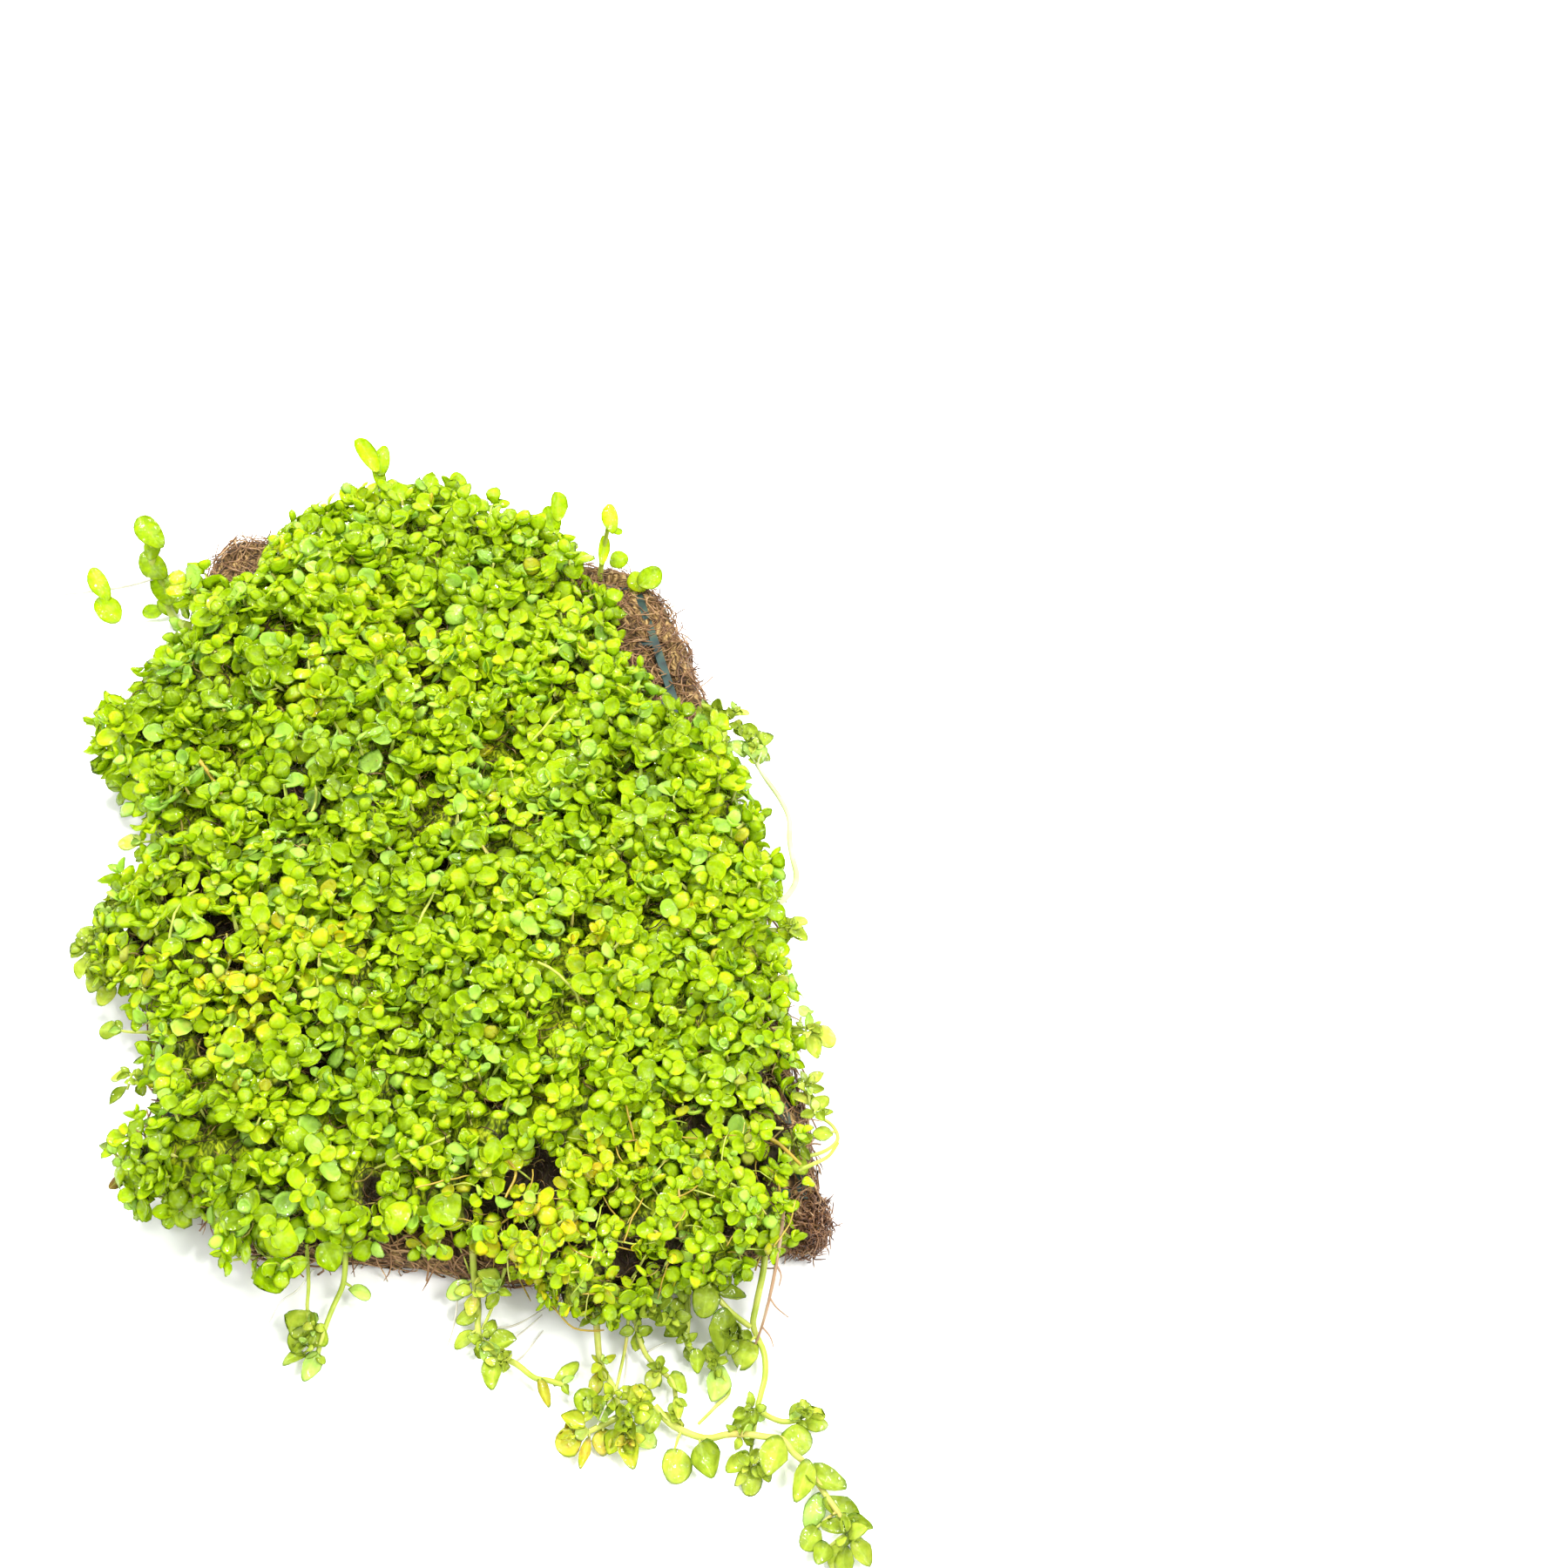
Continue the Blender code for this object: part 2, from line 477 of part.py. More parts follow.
def make_carpet(group, cutters, material, pad_loop):
    carpet = flat_solid("leaf_carpet", [smooth_loop(CARPET_OUTLINE, 2)], CARPET_LOW, CARPET_HIGH, group)
    remesh = carpet.modifiers.new("even_mesh", "REMESH")
    remesh.mode = "VOXEL"
    remesh.voxel_size = CARPET_VOXEL * MM
    remesh.adaptivity = 0.0
    soften = carpet.modifiers.new("round_rim", "SMOOTH")
    soften.factor = 0.5
    soften.iterations = 5
    settle(carpet)
    carpet.data.transform(carpet.matrix_world)
    carpet.matrix_world = Matrix()
    mesh = carpet.data
    normals = [v.normal.copy() for v in mesh.vertices]
    for vertex, normal in zip(mesh.vertices, normals):
        if vertex.co.z > 2.5 * MM:
            vertex.co += normal * lump_height(vertex.co) * MM
    mesh.update()
    thin = carpet.modifiers.new("fewer_faces", "DECIMATE")
    thin.ratio = min(1.0, CARPET_TRIANGLES / (2 * len(mesh.polygons)))
    settle(carpet)
    clearance = swollen_copy(carpet, "carpet_clearance", GAP, cutters)
    seat_top = PAD_THICKNESS + GAP + NET_THICKNESS + GAP
    seat = flat_solid("pad_seat", [outward(pad_loop, GAP + 0.15)], -4.0, seat_top, cutters)
    combine(carpet, as_cutter(seat), "DIFFERENCE")
    ground = flat_solid("ground_cut", [rectangle(90, 130)], -20.0, CARPET_LOW, cutters)
    combine(carpet, as_cutter(ground), "DIFFERENCE")
    keep_largest_body(carpet)
    return finish(carpet, material, 60.0), clearance


def nearest_on_paths(paths, place):
    best = None
    for path in paths:
        for a, b in zip(path, path[1:]):
            along = b - a
            t = max(0.0, min(1.0, (place - a).dot(along) / along.length_squared))
            point = a + along * t
            if best is None or (point - place).length < (best - place).length:
                best = point
    return best


def make_leaf(name, centre, along, half_width, half_length, facing, group):
    """A thin rounded disc with its long side along the given direction."""
    across = Vector(facing).cross(along).normalized()
    normal = along.cross(across).normalized()
    work = bmesh.new()
    bmesh.ops.create_uvsphere(work, u_segments=8, v_segments=3, radius=1.0)
    for vertex in work.verts:
        x, y, z = vertex.co
        vertex.co = (centre + along * x * half_length + across * y * half_width
                     + normal * z * LEAF_HALF_THICKNESS) * MM
    bmesh.ops.recalc_face_normals(work, faces=work.faces)
    mesh = bpy.data.meshes.new(name)
    work.to_mesh(mesh)
    work.free()
    return add_mesh_object(name, mesh, group)


def add_leaf(shoot, name, centre, paths, half_width, half_length, facing, group):
    base = nearest_on_paths(paths, centre)
    away = centre - base
    along = away.normalized() if away.length > 0.2 else Vector((0.0, -1.0, 0.0))
    combine(shoot, make_leaf(name, centre, along, half_width, half_length, facing, group), "UNION")
    if away.length > half_length * 0.8:
        petiole = tube(name + "_petiole", [base, centre - along * half_length * 0.6], THIN, group)
        combine(shoot, petiole, "UNION")


def boxes_meet(first, second, margin):
    def box(thing):
        places = [thing.matrix_world @ v.co for v in thing.data.vertices]
        return [(min(p[k] for p in places), max(p[k] for p in places)) for k in range(3)]
    return all(a[0] - margin < b[1] and b[0] - margin < a[1] for a, b in zip(box(first), box(second)))


def make_shoots(group, cutters, materials, carpet_cut, pad_loop):
    """Each shoot is cut back to stop a small gap short of the carpet, the slab, the net and the ground."""
    pad_cut = as_cutter(flat_solid("pad_clearance", [outward(pad_loop, GAP)], -4.0,
                                   PAD_THICKNESS + GAP, cutters))
    net_cut = as_cutter(flat_solid("net_clearance", [outward(net_border(), NET_STRAND)],
                                   PAD_THICKNESS, PAD_THICKNESS + NET_THICKNESS + 2 * GAP, cutters))
    ground = as_cutter(flat_solid("ground_clearance", [rectangle(90, 130)], -20.0, FLOOR_CLEARANCE, cutters))
    made = []
    for name, (facing, stems, leaves) in SHOOTS.items():
        paths = [smooth_path(points, 1) for _, points in stems]
        shoot = tube(name, paths[0], stems[0][0], group)
        for i in range(1, len(stems)):
            combine(shoot, tube("%s_stem_%d" % (name, i), paths[i], stems[i][0], cutters), "UNION")
        for i, (x, y, z, half_width, half_length) in enumerate(leaves):
            add_leaf(shoot, "%s_leaf_%d" % (name, i), Vector((x, y, z)), paths, half_width, half_length,
                     facing, cutters)
        for cutter in (pad_cut, net_cut, carpet_cut, ground):
            if boxes_meet(shoot, cutter, 0.0):
                combine(shoot, cutter, "DIFFERENCE", keep_other=True)
        for other in made:
            if boxes_meet(shoot, other, GAP * MM):
                combine(shoot, swollen_copy(other, "shoot_clearance", GAP, cutters), "DIFFERENCE")
        keep_largest_body(shoot)
        finish(shoot, materials.get(name, materials["default"]))
        made.append(shoot)
    return made


def main():
    clear_scene()
    group = make_collection("baby_tears")
    cutters = make_collection("baby_tears_cutters")
    coir = make_material("coconut_fibre", COIR_BROWN, 0.85)
    net = make_material("net_plastic", NET_GREEN, 0.4)
    leaf = make_material("leaf", LEAF_GREEN, 0.3)
    shoots = {
        "default": make_material("shoot", STEM_GREEN, 0.35),
        "root_thread_right": make_material("root", ROOT_TAN, 0.6),
        "shoot_left_wilted": make_material("wilted_shoot", WILTED_BROWN, 0.6),
    }
    _, pad_loop = make_pad(group, coir)
    make_net(group, net)
    _, carpet_clearance = make_carpet(group, cutters, leaf, pad_loop)
    make_shoots(group, cutters, shoots, carpet_clearance, pad_loop)


main()
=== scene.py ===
"""Baby tears mat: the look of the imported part.

A damp slab of coconut fibre lies flat, with a plastic net on it. Foliage of small round leaves in
crossed pairs grows through the net. Runners trail off the near edge, and shoots stand out at the rim.

All sizes in the constants are millimetres, in the same frame as the part.
"""

import json
import math
import random

import bmesh
import bpy
from mathutils import Matrix, Vector, noise

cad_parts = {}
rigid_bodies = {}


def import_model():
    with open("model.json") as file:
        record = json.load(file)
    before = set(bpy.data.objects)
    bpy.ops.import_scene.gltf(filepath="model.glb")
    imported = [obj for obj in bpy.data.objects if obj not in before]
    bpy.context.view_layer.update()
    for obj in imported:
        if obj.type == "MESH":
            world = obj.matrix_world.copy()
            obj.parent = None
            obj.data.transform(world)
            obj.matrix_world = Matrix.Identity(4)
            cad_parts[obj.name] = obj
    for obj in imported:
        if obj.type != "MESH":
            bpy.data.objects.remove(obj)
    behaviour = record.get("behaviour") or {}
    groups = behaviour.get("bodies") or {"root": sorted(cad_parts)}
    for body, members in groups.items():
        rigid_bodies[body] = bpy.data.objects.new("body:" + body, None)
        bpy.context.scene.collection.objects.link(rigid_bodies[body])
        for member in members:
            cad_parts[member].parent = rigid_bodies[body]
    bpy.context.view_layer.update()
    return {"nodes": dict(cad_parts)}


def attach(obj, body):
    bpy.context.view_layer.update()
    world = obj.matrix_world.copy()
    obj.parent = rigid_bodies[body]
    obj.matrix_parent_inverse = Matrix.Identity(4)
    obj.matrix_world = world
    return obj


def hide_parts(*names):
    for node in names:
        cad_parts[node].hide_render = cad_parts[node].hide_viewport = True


# Clear Blender's own first objects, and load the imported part
for first_object in list(bpy.data.objects):
    bpy.data.objects.remove(first_object, do_unlink=True)
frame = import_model()

MM = 0.001
UP = Vector((0.0, 0.0, 1.0))

# Camera, fitted to the photograph: place, degrees below the horizon, turn to the right and roll
CAMERA_PLACE = (11.2, -147.6, 165.4)
CAMERA_DOWN = 45.0
CAMERA_TURN = 11.9
CAMERA_ROLL = 5.0
LENS_MM = 36.0
SENSOR_MM = 36.0

# Slab of coconut fibre: its outline, the size and roughness of its mesh, how far the felt has swollen
# up through the net, and the one strand that it leaves bare
SLAB_THICKNESS = 5.0
SLAB_OUTLINE = (
    (-42.0, 65.5), (-39.4, 72.2), (-34.7, 73.4), (-28.0, 71.6), (-18.0, 70.5), (-8.0, 69.0), (3.0, 67.5),
    (13.0, 65.0), (21.0, 62.8), (26.5, 60.3), (31.0, 53.2), (32.2, 49.0), (32.4, 44.5), (34.4, 41.5),
    (34.2, 34.0), (35.4, 29.8), (35.8, 24.0), (35.5, 16.0), (35.9, 10.0), (37.6, 4.0), (38.2, -8.0),
    (38.6, -22.0), (38.8, -36.0), (39.2, -48.0), (39.2, -56.0), (37.8, -60.6), (34.4, -62.3),
    (29.2, -63.3), (23.5, -64.2), (14.0, -64.0), (6.0, -62.8), (-1.0, -61.4), (-9.5, -58.8),
    (-18.5, -57.4), (-24.5, -55.6), (-28.2, -52.6), (-31.8, -48.8), (-35.8, -42.0), (-37.4, -34.0),
    (-39.6, -24.0), (-40.6, -12.0), (-41.4, 0.0), (-42.8, 12.0), (-44.0, 24.0), (-43.0, 38.0),
    (-42.5, 52.0), (-42.8, 60.0),
)
SLAB_VOXEL = 1.1
SLAB_LUMP = 0.5
SWOLLEN = 1.6
BARE_STRAND = ((28.5, 41.0), (31.4, 20.0))

# Foliage: its rim, the mound that the sprigs stand on with its swells and lumps, how deep it dips where
# the leaves part, how far under it the tangle lies, and the share of places that carry a sprig
CARPET_OUTLINE = (
    (24.6, 30.4), (21.6, 31.6), (20.4, 35.0), (21.6, 41.0), (20.2, 48.7), (17.0, 56.0), (12.5, 60.0),
    (8.0, 67.0), (3.0, 74.0), (-3.0, 77.5), (-11.0, 78.0), (-19.0, 75.5), (-26.5, 69.0), (-29.5, 61.0),
    (-30.4, 55.0), (-33.0, 51.6), (-35.4, 53.0), (-37.6, 57.2), (-40.0, 58.4), (-42.4, 56.0),
    (-42.6, 50.6), (-40.4, 45.0), (-41.8, 39.5), (-46.6, 33.8), (-50.6, 28.6),
    (-50.2, 20.5), (-46.0, 15.5), (-43.4, 10.0), (-40.8, 4.0), (-41.2, -1.0), (-40.2, -4.6),
    (-44.4, -7.0), (-46.8, -11.4), (-46.2, -16.6), (-42.6, -21.6), (-39.0, -26.0), (-37.4, -31.0),
    (-36.4, -37.0), (-35.0, -41.0), (-38.0, -44.4), (-36.4, -48.6), (-32.6, -51.8), (-28.8, -52.8),
    (-26.8, -56.8), (-24.6, -60.0), (-21.5, -61.6), (-17.5, -59.8), (-13.0, -58.9), (-8.0, -60.0),
    (-3.0, -61.0), (1.0, -62.2), (5.0, -65.8), (9.5, -69.6), (13.0, -69.8), (16.5, -69.4),
    (21.0, -68.6), (26.0, -68.0), (30.0, -66.4), (33.4, -63.2), (35.4, -58.8), (37.2, -54.4),
    (38.4, -50.0), (37.8, -44.0), (37.6, -39.5), (38.0, -35.0), (38.4, -28.0), (38.4, -20.0),
    (38.4, -10.0), (37.4, -2.0), (36.4, 3.0), (34.2, 6.6), (34.0, 11.6), (34.0, 14.8), (30.4, 15.4),
    (27.2, 20.4), (25.6, 26.0),
)
MOUND_LOW = 4.0
MOUND_HIGH = 10.0
MOUND_INSET = 2.7
MOUND_VOXEL = 1.2
MOUND_SWELL = 0.9
MOUND_SWELL_PITCH = 17.0
MOUND_LUMP = 2.2
MOUND_LUMP_PITCH = 6.5
THIN_DEPTH = 1.2
TANGLE_DEPTH = 0.7
SPRIG_SHARE = 0.8

# Where the sprigs begin to grow towards the far side and to shrink towards the near one, and over
# what length
FAR_START = -20.0
FAR_LENGTH = 65.0
NEAR_START = -10.0
NEAR_LENGTH = 30.0

# Least distances between the roots of sprigs, stems, fibres and curls
SPRIG_SPACING = 1.95
STRAY_SPACING = 10.0
FRONT_STEM_SPACING = 3.6
GAP_STEM_SPACING = 2.2
GAP_FIBRE_SPACING = 0.83
LOOSE_FIBRE_SPACING = 0.91
CURL_SPACING = 0.28

# Front where the sprigs are small and close: centre x, y and half-sizes
SMALL_LEAVES = (17.0, -61.0, 26.0, 13.0)

# Places where the leaves part and the tangle, dark with painted shade, or the fibre shows: x, y, radius
THIN_PLACES = (
    (6.4, -53.0, 3.8), (3.4, -54.8, 2.7), (4.3, -59.4, 1.9), (1.5, -57.2, 1.5), (0.8, -63.4, 1.8),
    (3.6, -63.0, 1.5), (9.6, -58.2, 1.2), (10.1, -62.4, 1.0), (13.2, -58.2, 1.3), (7.2, -66.0, 1.1),
    (15.4, -65.0, 1.3), (18.0, -64.8, 1.2), (20.9, -64.6, 1.2), (27.4, -60.4, 1.7),
    (24.6, -47.9, 1.2), (26.5, -50.4, 1.4), (33.8, -45.6, 2.6), (34.4, -48.6, 2.2),
    (36.7, -45.6, 2.1), (33.3, -53.6, 1.9), (35.6, -55.9, 2.1), (30.6, -55.3, 1.4), (33.9, -58.4, 1.8),
    (-17.6, -58.6, 2.0), (-10.4, -53.5, 1.1), (-10.2, -58.0, 1.6), (-38.3, -27.6, 2.2), (15.6, -43.5, 1.6),
    (3.9, -43.2, 1.7), (-22.4, 8.6, 2.2), (-19.7, 2.7, 1.7), (-2.5, -4.4, 1.7), (-27.4, -20.8, 2.3),
    (-40.2, -15.4, 2.2), (-31.5, -15.0, 2.2), (-35.4, -9.2, 1.9), (-18.8, -15.8, 1.5), (0.1, 38.2, 0.9),
    (-20.2, 37.3, 1.8), (-29.3, -32.6, 1.4), (-20.0, -31.1, 1.6), (-19.3, -35.5, 1.4), (30.0, 33.0, 2.2),
    (30.8, 26.6, 1.8),
)

# Places where the leaves turn yellow or start to brown: x, y, radius, share
YELLOW_PLACES = (
    (-25.3, -21.4, 15.0, 0.8), (-38.0, -24.0, 9.0, 0.8), (-23.5, -44.0, 9.0, 0.5), (9.7, -62.0, 14.0, 0.9),
    (30.6, -54.3, 10.0, 0.9), (-47.7, 47.0, 8.0, 0.6), (-30.5, 57.0, 8.0, 0.9), (15.3, -25.3, 5.0, 0.8),
    (-20.1, 35.3, 6.0, 0.9), (-2.3, -55.1, 7.0, 0.7), (-24.0, 22.0, 9.0, 0.5), (-8.0, 5.0, 7.0, 0.4),
)

# Single leaves that stand out from the rest: x, y, z, half-width, half-length, turn and tilt in
# degrees, and age from 0, fresh green, to 1, yellow
NOTABLE_LEAVES = (
    (-20.1, -59.4, 11.2, 2.0, 2.1, 200.0, 34.0, 0.35), (-20.9, -61.6, 8.4, 2.0, 2.0, 170.0, 44.0, 0.6),
    (-15.4, -60.4, 8.4, 1.6, 1.6, 150.0, 30.0, 0.2), (-8.1, -58.0, 11.2, 1.7, 1.8, 220.0, 24.0, 0.25),
    (-3.1, -57.9, 11.4, 2.1, 1.8, 140.0, 22.0, 0.5), (-12.0, -46.8, 13.0, 1.6, 1.7, 190.0, 26.0, 0.3),
    (-18.8, -48.4, 13.2, 1.5, 1.7, 160.0, 22.0, 0.2), (17.4, -47.1, 13.4, 1.6, 1.6, 180.0, 24.0, 0.3),
    (28.1, -43.5, 12.6, 1.6, 2.2, 130.0, 30.0, 0.6), (31.1, -59.6, 10.2, 0.8, 2.0, 150.0, 34.0, 0.9),
    (7.8, -57.9, 10.4, 0.8, 1.1, 120.0, 30.0, 0.92), (22.6, -64.3, 9.0, 0.7, 1.0, 190.0, 30.0, 0.9),
    (18.7, -66.0, 8.6, 0.8, 1.0, 160.0, 20.0, 0.8), (-13.7, 1.1, 13.0, 0.8, 1.0, 60.0, 20.0, 0.95),
    (-11.3, -5.4, 13.0, 0.8, 1.0, 20.0, 24.0, 0.9), (-34.0, -12.2, 12.4, 0.8, 1.0, 80.0, 22.0, 0.9),
    (-24.9, -26.7, 13.0, 0.8, 1.1, 250.0, 24.0, 0.85), (5.4, -41.2, 13.2, 1.3, 1.3, 170.0, 20.0, 0.02),
    (2.4, -52.0, 12.6, 1.2, 1.4, 200.0, 24.0, 0.04), (22.7, -62.6, 9.6, 1.0, 1.1, 30.0, 24.0, 0.05),
    (3.2, -57.4, 10.4, 1.1, 1.3, 30.0, 30.0, 0.1), (1.6, -60.4, 9.6, 0.8, 1.1, 140.0, 24.0, 0.3),
    (5.1, -58.7, 10.2, 0.8, 1.0, 10.0, 30.0, 0.2), (10.1, -57.8, 10.6, 0.8, 1.0, 60.0, 24.0, 0.5),
    (5.8, -64.6, 8.6, 0.8, 1.4, 60.0, 24.0, 0.2), (31.6, -53.4, 10.2, 0.9, 1.4, 170.0, 24.0, 0.3),
    (34.1, -56.3, 9.0, 0.9, 1.0, 100.0, 26.0, 0.1), (37.3, -57.0, 8.4, 0.8, 0.9, 70.0, 26.0, 0.7),
    (29.6, -51.0, 11.2, 1.2, 1.5, 200.0, 28.0, 0.1),
)

# Bare stems that cross the leaves, as (radius, points), and whether they have dried to tan
CROSSING_STEMS = (
    (0.36, ((-37.0, 15.6, 12.4), (-36.0, 13.0, 13.2), (-34.0, 9.6, 13.2), (-31.7, 5.2, 12.6)), True),
    (0.24, ((-45.6, 16.6, 8.0), (-45.2, 14.6, 9.4), (-43.8, 12.2, 9.8), (-42.8, 9.6, 8.4)), True),
    (0.24, ((-21.6, 11.6, 12.0), (-20.3, 7.4, 12.6), (-20.1, 3.7, 12.4), (-21.4, 0.4, 11.8)), False),
    (0.26, ((30.2, -50.5, 10.0), (32.4, -50.8, 10.6), (35.0, -51.0, 10.2)), False),
    (0.28, ((32.8, -51.4, 9.8), (34.4, -53.2, 10.2), (36.4, -55.4, 9.4)), True),
    (0.26, ((36.2, -55.6, 8.6), (38.0, -55.2, 9.0), (39.8, -54.4, 9.0), (41.2, -52.8, 9.0)), False),
    (0.20, ((3.0, -51.4, 11.2), (4.6, -53.6, 10.6), (3.4, -56.4, 10.2)), True),
    (0.16, ((6.8, -56.6, 9.4), (4.6, -57.6, 9.0), (2.8, -58.6, 8.6)), True),
)

